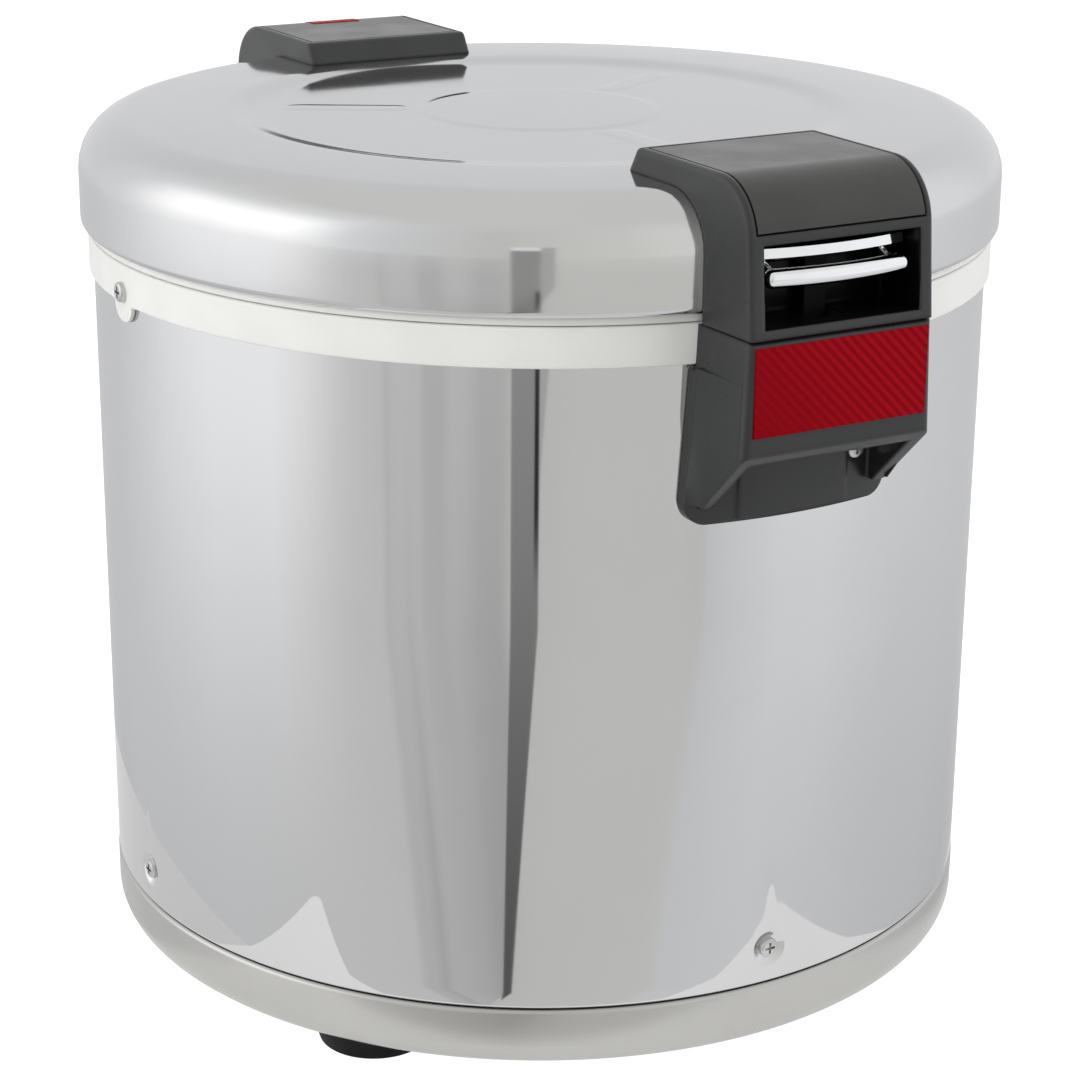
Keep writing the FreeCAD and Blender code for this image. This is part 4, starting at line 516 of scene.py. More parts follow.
MIRROR_STEEL = metal("mirror_steel", (0.66, 0.66, 0.665, 1), (0.64, 0.64, 0.648, 1), roughness=0.02,
                     spread=0.02, spacing=0.0012, depth=1.5e-7, smudge_scale=7.0)
LID_STEEL = metal("lid_steel", (0.66, 0.66, 0.663, 1), (0.64, 0.64, 0.643, 1), roughness=0.06,
                  spread=0.035, spacing=0.0014, depth=3e-7, smudge_scale=9.0)
SATIN_STEEL = metal("satin_steel", (0.54, 0.535, 0.52, 1), (0.51, 0.505, 0.49, 1), roughness=0.22,
                    spread=0.05, spacing=0.0009, depth=5e-8, smudge_scale=5.0)
SCREW_STEEL = metal("screw_steel", (0.62, 0.62, 0.61, 1), (0.50, 0.50, 0.49, 1), roughness=0.20,
                    spread=0.14, spacing=0.0004, depth=3e-6, smudge_scale=160.0)
LINER_STEEL = metal("liner_steel", (0.58, 0.58, 0.575, 1), (0.52, 0.52, 0.515, 1), roughness=0.22,
                    spread=0.12, spacing=0.0009, depth=3e-6, smudge_scale=16.0)
POT_METAL = metal("spun_aluminium", (0.74, 0.745, 0.75, 1), (0.66, 0.665, 0.67, 1), roughness=0.26,
                  spread=0.12, spacing=0.0012, depth=5e-6, smudge_scale=18.0)
CHROME = metal("chrome_plate", (0.88, 0.89, 0.90, 1), (0.84, 0.85, 0.86, 1), roughness=0.03,
               spread=0.04, spacing=0.0006, depth=1e-7, smudge_scale=60.0)
BRASS = metal("contact_brass", (0.72, 0.53, 0.24, 1), (0.58, 0.40, 0.16, 1), roughness=0.22,
              spread=0.14, spacing=0.0004, depth=2e-6, smudge_scale=200.0)
METALS = (MIRROR_STEEL, LID_STEEL, SATIN_STEEL, SCREW_STEEL, LINER_STEEL, POT_METAL, CHROME, BRASS)
print("metals:", [finish.name for finish in METALS])

# %% [markdown]
# ## Plastics, rubber and fibre
# Moulded pieces share the grain group. The charcoal blocks have a soft gloss over a fine grain, and where an
# edge is too small to model, a Bevel node rounds its shading. The white collar is smooth and a little warm,
# the rubber is dull, and the fibre is rough. The latch pocket is so deep that hardly any light comes back
# out of it, so its shade is painted: inside the pocket the handle's plastic is painted black and made less
# glossy.

# %% A moulded finish
BEVEL_SAMPLES = 6


def moulded(name, light, dark, roughness, spread, grain_scale, depth, edge_round=0.0, **sockets):
    """A moulded finish with a tone that drifts and a grain this fine and deep."""
    made, tree, shader, place = new_finish(name, **sockets)
    grain = effect(tree, GRAIN, {"Place": place, "Scale": grain_scale})
    tree.links.new(blend_colours(tree, grain["Tone"], light, dark), shader.inputs["Base Color"])
    rough = calc(tree, "ADD", calc(tree, "MULTIPLY", grain["Tone"], spread), roughness)
    tree.links.new(rough, shader.inputs["Roughness"])
    bump = add_bump(tree, shader, grain["Height"], depth)
    if edge_round:
        rounded = add_node(tree, "Bevel", {"Radius": edge_round}, samples=BEVEL_SAMPLES)
        tree.links.new(rounded.outputs[0], bump.inputs["Normal"])
    return made


# %% Plastics, rubber and fibre by name
EDGE_ROUND = 2.6 * MM
CHARCOAL_LOOK = (rgb(38, 39, 39), rgb(34, 35, 35), 0.25, 0.07, 1500.0, 1.2e-5)
WHITE_PLASTIC = moulded("white_plastic", rgb(245, 245, 242), rgb(241, 241, 237), 0.34, 0.08, 900.0, 6e-6)
CHARCOAL = moulded("charcoal_plastic", *CHARCOAL_LOOK, EDGE_ROUND)
FLANK_PLASTIC = moulded("flank_plastic", *CHARCOAL_LOOK)
PANEL_PLASTIC = moulded("panel_plastic", rgb(53, 53, 51), rgb(48, 48, 46), 0.24, 0.07, 1900.0, 1.0e-5)
ROCKER_PLASTIC = moulded("rocker_plastic", rgb(30, 30, 31), rgb(24, 24, 25), 0.24, 0.08, 1300.0, 6e-6)
RUBBER = moulded("foot_rubber", rgb(13, 13, 13), rgb(9, 9, 9), 0.62, 0.14, 800.0, 2e-5,
                 Specular_IOR_Level=0.2)
SEAL = moulded("seal_silicone", rgb(226, 224, 214), rgb(214, 211, 200), 0.38, 0.10, 600.0, 1e-5)
FIBRE = moulded("insulation_fibre", rgb(222, 214, 192), rgb(196, 186, 160), 0.88, 0.10, 500.0, 3e-4)
CERAMIC = moulded("terminal_ceramic", rgb(226, 220, 206), rgb(212, 205, 190), 0.42, 0.16, 700.0, 2e-5)
LEAD_COVER = moulded("lead_cover", rgb(196, 60, 40), rgb(170, 46, 32), 0.5, 0.12, 1100.0, 2e-5)
DARK_STEEL = moulded("blackened_steel", rgb(10, 10, 10), rgb(7, 7, 7), 0.5, 0.10, 900.0, 4e-6,
                     Specular_IOR_Level=0.15)
print("charcoal edges are shaded round by", round(EDGE_ROUND / MM, 1), "mm")

# %% Paint shade into the handle's pocket
handle_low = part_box("lid_handle")[0]
POCKET_HALF = 36.3 * MM
POCKET_HEIGHT = 32.3 * MM
POCKET_SILL = 3.3 * MM
POCKET_LIP = 1.2 * MM
# Painted shade: inside the pocket the plastic is painted near-black and its specular level is lowered.
POCKET_PAINTED_SHADE = (0.003, 0.003, 0.003, 1)
OUTER_SHINE = 0.5
PAINTED_SHADE_SHINE = 0.12
pocket_low = handle_low.z + POCKET_SILL


def plastic_with_painted_pocket_shade():
    """The handle's plastic, with painted shade inside the latch pocket: black there and less glossy."""
    made = moulded("handle_plastic_painted_shade", *CHARCOAL_LOOK, EDGE_ROUND)
    tree = made.node_tree
    shader = tree.nodes["Principled BSDF"]
    at = add_node(tree, "SeparateXYZ", {0: add_node(tree, "TexCoord").outputs["Object"]}).outputs
    # A mask of the pocket's inside, where the painted shade goes.
    painted_shade_mask = calc(tree, "LESS_THAN", calc(tree, "ABSOLUTE", at[0]), POCKET_HALF)
    painted_shade_mask = calc(tree, "MULTIPLY", painted_shade_mask, calc(tree, "GREATER_THAN", at[1], handle_low.y + POCKET_LIP))
    painted_shade_mask = calc(tree, "MULTIPLY", painted_shade_mask, calc(tree, "GREATER_THAN", at[2], pocket_low))
    painted_shade_mask = calc(tree, "MULTIPLY", painted_shade_mask, calc(tree, "LESS_THAN", at[2], pocket_low + POCKET_HEIGHT))
    plain = shader.inputs["Base Color"].links[0].from_socket
    tree.links.new(blend_colours(tree, painted_shade_mask, plain, POCKET_PAINTED_SHADE), shader.inputs["Base Color"])
    shine = ease(tree, painted_shade_mask, 0.0, 1.0, OUTER_SHINE, PAINTED_SHADE_SHINE)
    tree.links.new(shine, shader.inputs["Specular IOR Level"])
    return made


HANDLE_PLASTIC_PAINTED_SHADE = plastic_with_painted_pocket_shade()
print("pocket is", round(2 * POCKET_HALF / MM, 1), "x", round(POCKET_HEIGHT / MM, 1), "mm")

# %% [markdown]
# ## The red label
# The label is a printed plate with a plain diagonal stripe, tone on tone. A wave texture would need turning
# and scaling. Here the stripe is worked out from the place on the plate: width plus height is constant along
# a line that falls to the right. The stripe fades to the lower left.

# %% Striped red plate
STRIPE_PITCH = 4.6 * MM
STRIPE_START = (0.08, 0.2)
STRIPE_END = (0.56, 0.68)
STRIPE_FADE = (0.15, 0.85)
LABEL_RED = rgb(140, 4, 18)
STRIPE_RED = rgb(170, 12, 30)
LABEL_ROUGHNESS = 0.36
LABEL_SPREAD = 0.08
LABEL_SMUDGE = 60.0
label_low, label_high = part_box("front_label_plate")


def striped_plate():
    """Satin red print with diagonal stripes that fade to the lower left."""
    made, tree, shader, place = new_finish("striped_plate", Specular_IOR_Level=0.04)
    at = add_node(tree, "SeparateXYZ", {0: place}).outputs
    along = calc(tree, "ADD", at[0], at[2])
    phase = calc(tree, "FRACT", calc(tree, "DIVIDE", along, STRIPE_PITCH))
    stripe = calc(tree, "SUBTRACT", ease(tree, phase, *STRIPE_START), ease(tree, phase, *STRIPE_END))
    shown = ease(tree, along, label_low.x + label_low.z, label_high.x + label_low.z, *STRIPE_FADE)
    colour = blend_colours(tree, calc(tree, "MULTIPLY", stripe, shown), LABEL_RED, STRIPE_RED)
    tree.links.new(colour, shader.inputs["Base Color"])
    smudge = effect(tree, SMUDGES, {"Place": place, "Scale": LABEL_SMUDGE})["Smudge"]
    rough = calc(tree, "ADD", calc(tree, "MULTIPLY", smudge, LABEL_SPREAD), LABEL_ROUGHNESS)
    tree.links.new(rough, shader.inputs["Roughness"])
    return made


RED_PLATE = striped_plate()
print("label stripes every", round(STRIPE_PITCH / MM, 1), "mm")

# %% [markdown]
# ## Finish for every CAD piece
# A CAD piece whose shape is right stays, and only takes a better material. The record's slot says what it is
# made of, so one table from slot to finish dresses them all. Three pieces have a finish of their own.

# %% Dress the CAD pieces
FINISHES = {
    "rubber_black": RUBBER, "pan_steel": SATIN_STEEL, "screw_steel": SCREW_STEEL,
    "polished_steel": MIRROR_STEEL, "liner_steel": LINER_STEEL, "white_plastic": WHITE_PLASTIC,
    "pot_aluminium": POT_METAL, "insulation_fibre": FIBRE, "terminal_ceramic": CERAMIC,
    "lead_cover": LEAD_COVER, "charcoal_plastic": CHARCOAL, "panel_plastic": PANEL_PLASTIC,
    "contact_brass": BRASS, "red_plate": RED_PLATE, "chrome": CHROME, "gasket_silicone": SEAL,
    "rocker_plastic": ROCKER_PLASTIC,
}
OWN_FINISHES = {"lid_handle": HANDLE_PLASTIC_PAINTED_SHADE, "latch_hook": DARK_STEEL, "latch_pin": DARK_STEEL}
slot_of = {}
for name, node in nodes.items():
    slot_of[name] = node.material_slots[0].name.split(".")[0]
    node.material_slots[0].material = OWN_FINISHES.get(name, FINISHES[slot_of[name]])
print("dressed", len(slot_of), "CAD pieces")

# %% [markdown]
# ## Round pieces
# The shell, pan, collar and lid are rolled, drawn or moulded round. Each could start as a cylinder that is
# cut and scaled, but a section says more with fewer numbers: half an outline, drawn as a few corners and
# spun about the upright axis. A corner's third number says how far from the corner its rounding starts, and
# a vertex bevel makes the arc. Where a detail interrupts the round, the spin takes finer steps there.

# %% Spinning tools
ARC_STEPS = 8
MERGE_DISTANCE = 0.001 * MM
UPRIGHT = (0, 0, 1)
CENTRE = (0, 0, 0)


def draw_section(corners, closed=False):
    """A section in the upright plane as a chain of edges, with its corners rounded."""
    bm = bmesh.new()
    chain = [bm.verts.new((corner[0], 0, corner[1])) for corner in corners]
    for pair in zip(chain, chain[1:] + chain[:1] if closed else chain[1:]):
        bm.edges.new(pair)
    for vert, corner in zip(chain, corners):
        if len(corner) > 2:
            bmesh.ops.bevel(bm, geom=[vert], offset=corner[2], offset_type="OFFSET", segments=ARC_STEPS,
                            profile=0.5, affect="VERTICES", material=-1)
    return bm


def close_round(bm):
    """Merges the seam and the poles, and turns the faces outwards."""
    bmesh.ops.remove_doubles(bm, verts=bm.verts[:], dist=MERGE_DISTANCE)
    bmesh.ops.recalc_face_normals(bm, faces=bm.faces[:])


def spin_section(bm, steps):
    """Spins a section once round in even steps, and closes its seam and poles."""
    bmesh.ops.spin(bm, geom=bm.verts[:] + bm.edges[:], axis=UPRIGHT, cent=CENTRE, angle=math.tau,
                   steps=steps, use_merge=True)
    close_round(bm)


def spin_with_details(bm, detail_count, detail_span, detail_steps, plain_steps):
    """Spins a section once round, in finer steps at details that are spaced evenly from +X."""
    turn_back = Matrix.Rotation(-detail_span / 2, 3, "Z")
    bmesh.ops.rotate(bm, verts=bm.verts[:], cent=CENTRE, matrix=turn_back)
    moving = bm.verts[:] + bm.edges[:]
    plain_span = math.tau / detail_count - detail_span
    for span, steps in [(detail_span, detail_steps), (plain_span, plain_steps)] * detail_count:
        made = bmesh.ops.spin(bm, geom=moving, axis=UPRIGHT, cent=CENTRE, angle=span, steps=steps,
                              use_merge=False)
        moving = made["geom_last"]
    close_round(bm)


# %% From a bmesh to a piece
SMOOTH_BELOW = math.radians(32)


def add_detail(name, bm, body, finish):
    """Makes a piece that rides on a body, in the finish it is given."""
    mesh = bpy.data.meshes.new(name)
    bm.to_mesh(mesh)
    bm.free()
    mesh.polygons.foreach_set("use_smooth", [True] * len(mesh.polygons))
    mesh.set_sharp_from_angle(angle=SMOOTH_BELOW)
    mesh.materials.append(finish)
    piece = bpy.data.objects.new(name, mesh)
    bpy.context.scene.collection.objects.link(piece)
    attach(piece, body)
    print(name, "has", len(mesh.polygons), "faces")
    return piece


def add_piece(name, bm, body, finish, stands_for):
    """Makes a piece that takes the place of a CAD node."""
    piece = add_detail(name, bm, body, finish)
    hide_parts(stands_for)
    return piece


# %% [markdown]
# ## The polished shell
# The wall is one sheet rolled into a tube, with its lower edge turned in. Four screws near the bottom sit in
# soft dimples that are pressed into the sheet. Cutting them from a solid wall would leave sharp rims. So the
# wall is spun as a single skin, the dimples are pushed in, the opening for the rear panel is taken out, and
# only then does the skin get its thickness.

# %% Spin the shell
shell_low, shell_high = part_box("outer_shell")
SHELL_RADIUS = shell_high.x
SHELL_WALL = 0.8 * MM
SHELL_TURN_IN = 1.6 * MM
screw_low, screw_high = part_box("shell_screws")
DIMPLE_Z = (screw_low.z + screw_high.z) / 2
DIMPLE_FLOOR = 4.7 * MM
DIMPLE_RIM = 8.4 * MM
DIMPLE_DEPTH = 1.6 * MM
DIMPLE_COUNT = 4
DIMPLE_ROWS = 28
SHELL_STEPS = 60
panel_low, panel_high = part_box("rear_panel")
PANEL_LAP = 4.2 * MM
hole_low = panel_low.z + PANEL_LAP
hole_high = panel_high.z - PANEL_LAP
hole_half = panel_high.x - PANEL_LAP

shell = draw_section([
    (SHELL_RADIUS - 2 * SHELL_TURN_IN, shell_low.z), (SHELL_RADIUS, shell_low.z, SHELL_TURN_IN),
    (SHELL_RADIUS, DIMPLE_Z - DIMPLE_RIM), (SHELL_RADIUS, DIMPLE_Z + DIMPLE_RIM),
    (SHELL_RADIUS, hole_low), (SHELL_RADIUS, hole_high), (SHELL_RADIUS, shell_high.z),
])
dimple_band = [edge for edge in shell.edges
               if abs(edge.verts[0].co.z + edge.verts[1].co.z - 2 * DIMPLE_Z) < 0.1 * MM]
bmesh.ops.subdivide_edges(shell, edges=dimple_band, cuts=DIMPLE_ROWS)
spin_with_details(shell, DIMPLE_COUNT, 2 * DIMPLE_RIM / SHELL_RADIUS, DIMPLE_ROWS, SHELL_STEPS)
print("the skin has", len(shell.faces), "faces")


# %% Press the dimples and open the wall
def ease_between(value, low, high):
    """A smooth step from 0 at low to 1 at high."""
    share = min(max((value - low) / (high - low), 0.0), 1.0)
    return share * share * (3 - 2 * share)


dimple_turn = math.tau / DIMPLE_COUNT
for vert in shell.verts:
    angle = math.atan2(vert.co.y, vert.co.x)
    aside = (angle + dimple_turn / 2) % dimple_turn - dimple_turn / 2
    distance = math.hypot(aside * SHELL_RADIUS, vert.co.z - DIMPLE_Z)
    pressed = DIMPLE_DEPTH * (1 - ease_between(distance, DIMPLE_FLOOR, DIMPLE_RIM))
    if pressed > 0:
        vert.co -= Vector((vert.co.x, vert.co.y, 0)).normalized() * pressed
opening = [face for face in shell.faces
           if face.calc_center_median().y > 0 and abs(face.calc_center_median().x) < hole_half
           and hole_low < face.calc_center_median().z < hole_high]
bmesh.ops.delete(shell, geom=opening, context="FACES")
bmesh.ops.solidify(shell, geom=shell.faces[:], thickness=SHELL_WALL)
add_piece("polished_shell", shell, "body", MIRROR_STEEL, "outer_shell")

# %% [markdown]
# ## The base pan
# The pan is a drawn dish in satin steel. Its lower corner is a generous round, and its upper edge rolls in
# just under the shell, so that a thin dark line parts the two. The CAD piece has a square upper edge. A
# bevel on its loose triangles would be rough, so the section is drawn again with the roll and spun finely.

# %% Spin the pan
pan_low, pan_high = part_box("base_pan")
PAN_RADIUS = pan_high.x
PAN_CORNER = 12.0 * MM
PAN_WALL = 1.0 * MM
PAN_ROLL = 2.0 * MM
PAN_STEPS = 256
SEAM_GAP = 0.6 * MM
HATCH_LAP = 9.0 * MM
UPSTAND_INSET = 2.7 * MM
hatch_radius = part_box("bottom_cover")[1].x - HATCH_LAP
upstand = SHELL_RADIUS - SHELL_WALL - UPSTAND_INSET
seam = shell_low.z - SEAM_GAP

pan = draw_section([
    (hatch_radius, pan_low.z), (PAN_RADIUS, pan_low.z, PAN_CORNER),
    (PAN_RADIUS, seam, PAN_ROLL), (upstand, seam), (upstand, pan_high.z),
])
spin_section(pan, PAN_STEPS)
bmesh.ops.solidify(pan, geom=pan.faces[:], thickness=PAN_WALL)
add_piece("satin_pan", pan, "body", SATIN_STEEL, "base_pan")

# %% [markdown]
# ## The white collar
# The collar is moulded, so its outer edges carry small rounds. On each side its lower edge drops into a
# tongue that takes a screw. A tongue could be a piece of its own, but then a seam would show. Its outline is
# a half circle, so each vertex of the lower edge is moved down by the height of that circle.

# %% Spin the collar
collar_low, collar_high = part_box("top_collar")
COLLAR_RADIUS = collar_high.x
COLLAR_SKIRT = 1.8 * MM
COLLAR_ROUND = 1.3 * MM
SKIRT_ROUND = 0.6 * MM
TONGUE_HALF = 9.0 * MM
TONGUE_DROP = 8.0 * MM
TONGUE_FLAT = 1.0 * MM
TONGUE_COUNT = 2
TONGUE_STEPS = 48
COLLAR_STEPS = 110
DECK = 4.0 * MM
LIP_DROP = 10.0 * MM
LINER_GAP = 0.2 * MM
LINER_FLANGE = 11.5 * MM
LIP_WALL = 2.0 * MM
FLANGE_SEAT = 1.0 * MM
skirt_low = collar_low.z + TONGUE_DROP
skirt_bore = COLLAR_RADIUS - COLLAR_SKIRT
collar_top = collar_high.z
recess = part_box("inner_liner")[1].x + LINER_GAP
lip_bore = recess - LINER_FLANGE

collar = draw_section([
    (skirt_bore, skirt_low, SKIRT_ROUND), (COLLAR_RADIUS, skirt_low, SKIRT_ROUND),
    (COLLAR_RADIUS, collar_top, COLLAR_ROUND), (recess, collar_top, 2 * LINER_GAP),
    (recess, collar_top - FLANGE_SEAT), (lip_bore, collar_top - FLANGE_SEAT),
    (lip_bore, collar_top - LIP_DROP), (lip_bore + LIP_WALL, collar_top - LIP_DROP),
    (lip_bore + LIP_WALL, collar_top - DECK), (skirt_bore, collar_top - DECK),
], closed=True)
spin_with_details(collar, TONGUE_COUNT, 2 * TONGUE_HALF / COLLAR_RADIUS, TONGUE_STEPS, COLLAR_STEPS)
for vert in collar.verts:
    beside = abs(vert.co.y)
    if vert.co.z < skirt_low + 2 * SKIRT_ROUND and beside < TONGUE_HALF:
        reach = max(beside - TONGUE_FLAT, 0.0)
        vert.co.z -= math.sqrt(max(TONGUE_DROP ** 2 - reach ** 2, 0.0))
add_piece("white_collar", collar, "body", WHITE_PLASTIC, "top_collar")

# %% [markdown]
# ## The lid
# The lid is pressed from one sheet: a curled lower edge, a round shoulder, a shallow sunken disc with a soft
# step, a low boss in the middle and three low ribs. Ribs laid on top would look stuck on. So the outline is
# spun as a single skin, the ribs are raised by a smooth bump on the skin, and the sheet then gets its
# thickness inwards.

# %% Spin the lid
lid_low, lid_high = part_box("lid_shell")
LID_RADIUS = lid_high.x
LID_SHOULDER = 22.8 * MM
LID_CURL = 3.2 * MM
LID_CROWN = 0.6 * MM
LID_WALL = 0.8 * MM
STEP_INSET = 66.0 * MM
STEP_WIDTH = 12.0 * MM
STEP_OUTER = LID_RADIUS - STEP_INSET
STEP_INNER = STEP_OUTER - STEP_WIDTH
STEP_DEPTH = 2.0 * MM
STEP_ROUND = 4.0 * MM
BOSS_RADIUS = 50.0 * MM
BOSS_RISE = 0.5 * MM
BOSS_SLOPE = 4.0 * MM
BOSS_TO_RIB = 15.0 * MM
RIB_TO_STEP = 18.0 * MM
RIB_START = BOSS_RADIUS + BOSS_TO_RIB
RIB_END = STEP_INNER - RIB_TO_STEP
RIB_HALF = 8.0 * MM
RIB_SOFT = 4.5 * MM
RIB_RISE = 0.3 * MM
RIB_ANGLES = [math.radians(angle) for angle in (-90, 30, 150)]
DISC_ROWS = 30
DISC_FLAT = 0.01 * MM
LID_STEPS = 384
RIM_GAP = 0.3 * MM
rim_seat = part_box("lid_rim_ring")[1].x + RIM_GAP
disc = lid_high.z - STEP_DEPTH


def on_disc(vert):
    """Whether a vertex lies on the flat of the sunken disc."""
    return abs(vert.co.z - disc) < DISC_FLAT


lid = draw_section([
    (rim_seat, lid_low.z), (LID_RADIUS, lid_low.z, LID_CURL),
    (LID_RADIUS, lid_high.z - LID_CROWN, LID_SHOULDER), (STEP_OUTER, lid_high.z, STEP_ROUND),
    (STEP_INNER, disc, STEP_ROUND), (BOSS_RADIUS + BOSS_SLOPE, disc, BOSS_SLOPE / 2),
    (BOSS_RADIUS, disc + BOSS_RISE, BOSS_SLOPE / 2), (0.0, disc + BOSS_RISE),
])
rib_band = [edge for edge in lid.edges
            if all(on_disc(vert) for vert in edge.verts) and edge.calc_length() > RIB_HALF]
bmesh.ops.subdivide_edges(lid, edges=rib_band, cuts=DISC_ROWS)
spin_section(lid, LID_STEPS)
print("the disc lies", round((lid_high.z - disc) / MM, 1), "mm below the crown")

# %% Raise the ribs
for vert in lid.verts:
    if on_disc(vert):
        gaps = []
        for angle in RIB_ANGLES:
            along = vert.co.x * math.cos(angle) + vert.co.y * math.sin(angle)
            aside = vert.co.y * math.cos(angle) - vert.co.x * math.sin(angle)
            gaps.append(math.hypot(along - min(max(along, RIB_START), RIB_END), aside))
        vert.co.z += RIB_RISE * (1 - ease_between(min(gaps), RIB_HALF - RIB_SOFT, RIB_HALF))
bmesh.ops.solidify(lid, geom=lid.faces[:], thickness=LID_WALL)
add_piece("pressed_lid", lid, "lid", LID_STEEL, "lid_shell")

# %% [markdown]
# ## The torsion spring
# Beside the latch's barrel a small spring is wound on the pin. The CAD piece is a plain sleeve. A curve with
# a bevel could draw the wire. Here one circle of wire is spun about the pin and moved along it a little at
# each step, which gives the helix in one call.

# %% Wind the spring
spring_low, spring_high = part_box("latch_spring")
pin_low, pin_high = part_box("latch_pin")
PIN_Y = (pin_low.y + pin_high.y) / 2
PIN_Z = (pin_low.z + pin_high.z) / 2
WIRE_RADIUS = 0.6 * MM
COIL_RADIUS = 3.1 * MM
COILS = 4
COIL_STEPS = 24
WIRE_SIDES = 10
ALONG_PIN = (1, 0, 0)


def edges_of(geometry):
    """The edges among the vertices, edges and faces that an operator gave."""
    return [item for item in geometry if isinstance(item, bmesh.types.BMEdge)]


spring = bmesh.new()
bmesh.ops.create_circle(spring, segments=WIRE_SIDES, radius=WIRE_RADIUS, cap_ends=False)
for axis in "YZ":
    quarter_turn = Matrix.Rotation(math.pi / 2, 3, axis)
    bmesh.ops.rotate(spring, verts=spring.verts[:], cent=CENTRE, matrix=quarter_turn)
wire_start = (spring_low.x + WIRE_RADIUS, PIN_Y, PIN_Z + COIL_RADIUS)
bmesh.ops.translate(spring, verts=spring.verts[:], vec=wire_start)
coil_length = spring_high.x - spring_low.x - 2 * WIRE_RADIUS
start_ring = spring.edges[:]
wound = bmesh.ops.spin(spring, geom=spring.verts[:] + start_ring, axis=ALONG_PIN, cent=(0, PIN_Y, PIN_Z),
                       dvec=(coil_length / (COILS * COIL_STEPS), 0, 0), angle=math.tau * COILS,
                       steps=COILS * COIL_STEPS, use_merge=False)
bmesh.ops.contextual_create(spring, geom=start_ring)
bmesh.ops.contextual_create(spring, geom=edges_of(wound["geom_last"]))
bmesh.ops.recalc_face_normals(spring, faces=spring.faces[:])
add_piece("wound_spring", spring, "lid", SCREW_STEEL, "latch_spring")

# %% [markdown]
# ## The chromed lever
# The lever is plated steel: a barrel on the pin, a finger plate that runs forward from it and turns down,
# and a bowed grip bar with round ends, held by two thin arms from the barrel. The barrel is a rectangle spun
# about the pin. The plate and the bar share one bow. They could be bent after modelling, but a section spun
# about an upright axis far behind the bar has the bow from the start.

# %% Size the lever
lever_low, lever_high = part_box("latch_lever")
PIN_RADIUS = (pin_high.z - pin_low.z) / 2
BARREL_RADIUS = 4.0 * MM
PIN_ROOM = 0.25 * MM
BAR_RADIUS = 3.8 * MM
BAR_BOW = 3.0 * MM
BAR_HALF = 29.4 * MM
PLATE_TOP = Vector((0, -11.4 * MM, 3.4 * MM))
PLATE_FOOT = Vector((0, -12.2 * MM, -0.2 * MM))
PLATE_ROOT = Vector((0, -1.0 * MM, 3.4 * MM))
PLATE_WALL = 1.0 * MM
ARM_X = 27.5 * MM
ARM_RADIUS = 1.3 * MM
BOW_STEPS = 40
BARREL_SIDES = 32
BAR_SIDES = 20
TIP_RINGS = 12
ARM_SIDES = 16
PIN_AT = Vector((0, PIN_Y, PIN_Z))
bow_radius = (BAR_HALF ** 2 + BAR_BOW ** 2) / (2 * BAR_BOW)
bar_front = Vector((0, lever_low.y + BAR_RADIUS, lever_low.z + BAR_RADIUS))
bow_centre = bar_front + Vector((0, bow_radius, 0))
print("the bow's radius is", round(bow_radius / MM), "mm")


# %% Tools for the lever
def spin_bow(bm, geometry, x_from, x_to, radius):
    """Spins a section that stands at x = 0 along the bow, from one x to another, and closes both ends."""
    start_angle = math.asin(x_from / radius)
    sweep = math.asin(x_to / radius) - start_angle
    verts = [item for item in geometry if isinstance(item, bmesh.types.BMVert)]
    bmesh.ops.rotate(bm, verts=verts, cent=bow_centre, matrix=Matrix.Rotation(start_angle, 3, "Z"))
    swept = bmesh.ops.spin(bm, geom=geometry, axis=UPRIGHT, cent=bow_centre, angle=sweep, steps=BOW_STEPS,
                           use_merge=False)
    bmesh.ops.contextual_create(bm, geom=edges_of(geometry))
    bmesh.ops.contextual_create(bm, geom=edges_of(swept["geom_last"]))


def add_loop(bm, points):
    """A closed ring through points, as its vertices and edges."""
    ring = [bm.verts.new(point) for point in points]
    return ring + [bm.edges.new(pair) for pair in zip(ring, ring[1:] + ring[:1])]


# %% Bend the lever
lever = bmesh.new()
inner, outer = PIN_RADIUS + PIN_ROOM, BARREL_RADIUS
barrel = add_loop(lever, [PIN_AT + Vector((x, 0, reach)) for x, reach in (
    (lever_low.x, inner), (lever_high.x, inner), (lever_high.x, outer), (lever_low.x, outer))])
bmesh.ops.spin(lever, geom=barrel, axis=ALONG_PIN, cent=PIN_AT, angle=math.tau, steps=BARREL_SIDES,
               use_merge=True)

behind = Vector((0, PLATE_WALL, 0))
under = Vector((0, 0, -PLATE_WALL))
plate = add_loop(lever, [PIN_AT + corner for corner in (
    PLATE_TOP, PLATE_FOOT, PLATE_FOOT + behind, PLATE_TOP + behind + under, PLATE_ROOT + under, PLATE_ROOT)])
spin_bow(lever, plate, lever_low.x, lever_high.x, bow_centre.y - PIN_AT.y - PLATE_TOP.y)

bar = add_loop(lever, [bar_front + Vector((0, math.cos(turn), math.sin(turn))) * BAR_RADIUS
                       for turn in (math.tau * step / BAR_SIDES for step in range(BAR_SIDES))])
spin_bow(lever, bar, -BAR_HALF, BAR_HALF, bow_radius)
bar_end = bar_front + Vector((0, BAR_BOW, 0))
for side in (-1, 1):
    tip = Matrix.Translation(bar_end + Vector((side * BAR_HALF, 0, 0)))
    bmesh.ops.create_uvsphere(lever, u_segments=BAR_SIDES, v_segments=TIP_RINGS, radius=BAR_RADIUS,
                              matrix=tip)
    arm_from = PIN_AT + Vector((side * ARM_X, 0, ARM_RADIUS - BARREL_RADIUS))
    arm_to = bar_front + Vector((side * ARM_X, BAR_BOW * (ARM_X / BAR_HALF) ** 2, 0))
    along = arm_to - arm_from
    turned = along.to_track_quat("Z", "Y").to_matrix().to_4x4()
    bmesh.ops.create_cone(lever, cap_ends=True, segments=ARM_SIDES, radius1=ARM_RADIUS, radius2=ARM_RADIUS,
                          depth=along.length, matrix=Matrix.Translation((arm_from + arm_to) / 2) @ turned)
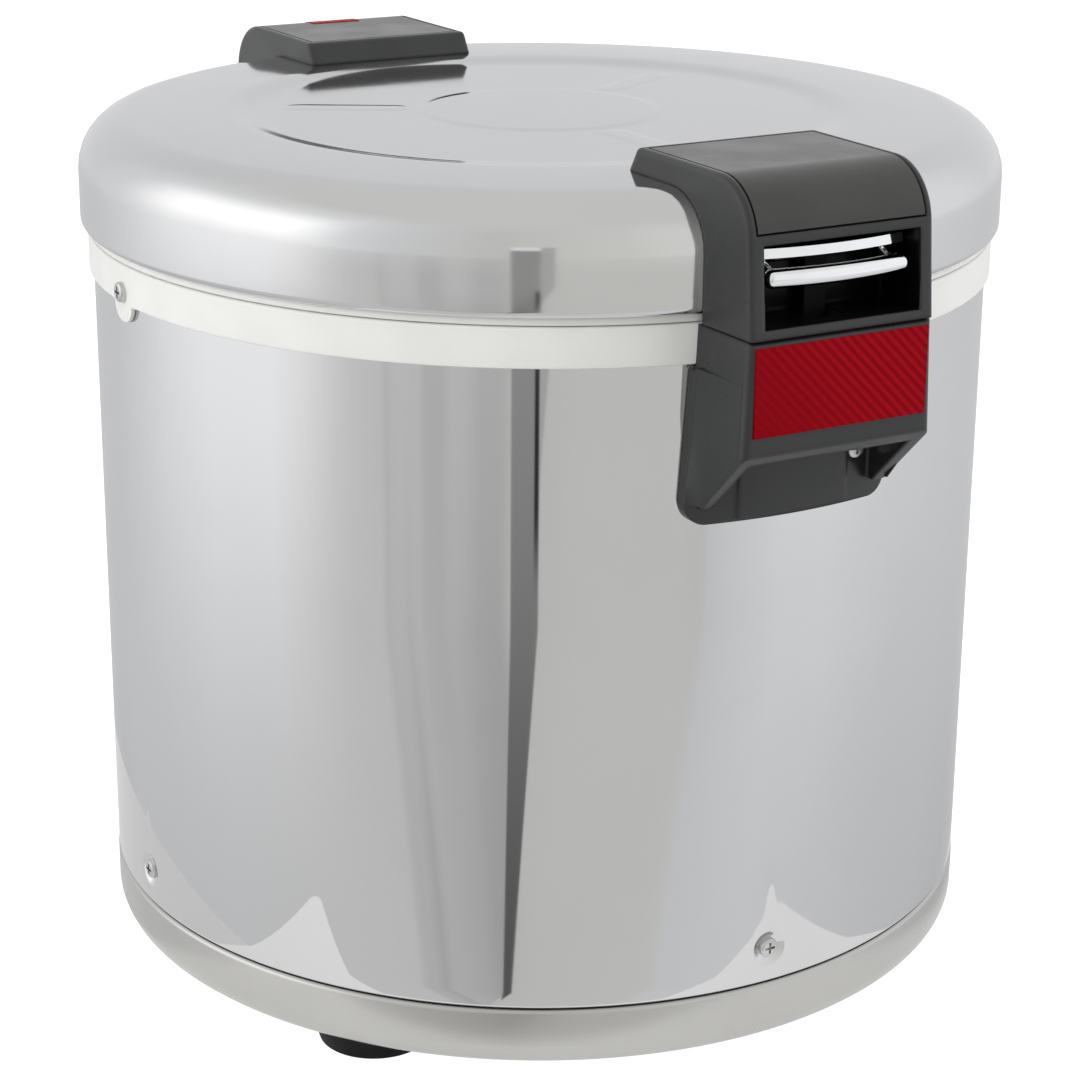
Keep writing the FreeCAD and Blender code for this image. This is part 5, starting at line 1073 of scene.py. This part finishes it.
bmesh.ops.recalc_face_normals(lever, faces=lever.faces[:])
add_piece("chromed_lever", lever, "latch", CHROME, "latch_lever")

# %% [markdown]
# ## Soft flanks on the brackets
# Each bracket's side runs into its back plate in one smooth sweep, as a mould with a generous draft leaves
# it. The CAD piece has a plain corner there, and one bevel couldn't follow the slope of the chin. So a flank
# fills that corner on each side: a curve from the block's side out to the plate's edge, drawn as a ring at
# every height, with the rings bridged.

# %% The outline of a flank
bracket_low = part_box("latch_bracket")[0]
BLOCK_HALF_TOP = 42.3 * MM
BLOCK_HALF_LOW = 44.0 * MM
EDGE_HALF_TOP = 44.5 * MM
EDGE_HALF_LOW = 48.5 * MM
BACK_PLATE = 5.3 * MM
CHIN_DROP = 45.2 * MM
PLATE_CORNER = 9.0 * MM
FLANK_SHARE = 0.88
SWEEP_SHARE = 0.35
COLLAR_CLEAR = 0.8 * MM
FLANK_SKIN = 0.05 * MM
BURIED = 0.6 * MM
FLANK_ROWS = 30
FLANK_COLUMNS = 12
plate_radius = SHELL_RADIUS + BACK_PLATE
flank_low = bracket_low.z + PLATE_CORNER
flank_high = skirt_low - COLLAR_CLEAR
chin = collar_top - CHIN_DROP


def between(low, high, share):
    """A value part of the way from low to high."""
    return low + (high - low) * share


def flank_row(z):
    """One outline of the right-hand flank, at a height, drawn at the front."""
    side = between(BLOCK_HALF_LOW, BLOCK_HALF_TOP, max(z - chin, 0.0) / CHIN_DROP) + FLANK_SKIN
    edge = between(EDGE_HALF_LOW, EDGE_HALF_TOP, (z - bracket_low.z) / (flank_high - bracket_low.z))
    plate_y = -math.sqrt(plate_radius ** 2 - side ** 2)
    edge_y = -math.sqrt(plate_radius ** 2 - edge ** 2)
    slope_share = min((z - bracket_low.z) / (chin - bracket_low.z), 1.0)
    front_y = between(plate_y, bracket_low.y, slope_share)
    start_y = between(plate_y, front_y, FLANK_SHARE)
    corner_y = between(plate_y, start_y, SWEEP_SHARE)
    points = []
    for step in range(FLANK_COLUMNS + 1):
        share = step / FLANK_COLUMNS
        x = between(side, edge, share ** 2)
        y = between(between(start_y, corner_y, share), between(corner_y, edge_y, share), share)
        points.append(Vector((x, y, z)))
    points.append(Vector((edge, edge_y + BURIED, z)))
    points.append(Vector((side - BURIED, plate_y + BURIED, z)))
    points.append(Vector((side - BURIED, start_y, z)))
    return points


print("flanks stand from", round(flank_low / MM, 1), "to", round(flank_high / MM, 1), "mm")


# %% Fill the corners beside the brackets
def bracket_flanks(name, turn):
    """Both flanks of one bracket, turned from the front to the bracket's side of the shell."""
    bm = bmesh.new()
    for side in (-1, 1):
        rings = []
        for step in range(FLANK_ROWS + 1):
            outline = flank_row(between(flank_low, flank_high, step / FLANK_ROWS))
            rings.append(edges_of(add_loop(bm, [(side * x, y, z) for x, y, z in outline])))
        for lower, upper in zip(rings, rings[1:]):
            bmesh.ops.bridge_loops(bm, edges=lower + upper)
        bmesh.ops.contextual_create(bm, geom=rings[0])
        bmesh.ops.contextual_create(bm, geom=rings[-1])
    bmesh.ops.rotate(bm, verts=bm.verts[:], cent=CENTRE, matrix=Matrix.Rotation(turn, 3, "Z"))
    bmesh.ops.recalc_face_normals(bm, faces=bm.faces[:])
    return add_detail(name, bm, "body", FLANK_PLASTIC)


bracket_flanks("latch_bracket_flanks", 0.0)
bracket_flanks("hinge_bracket_flanks", math.pi)
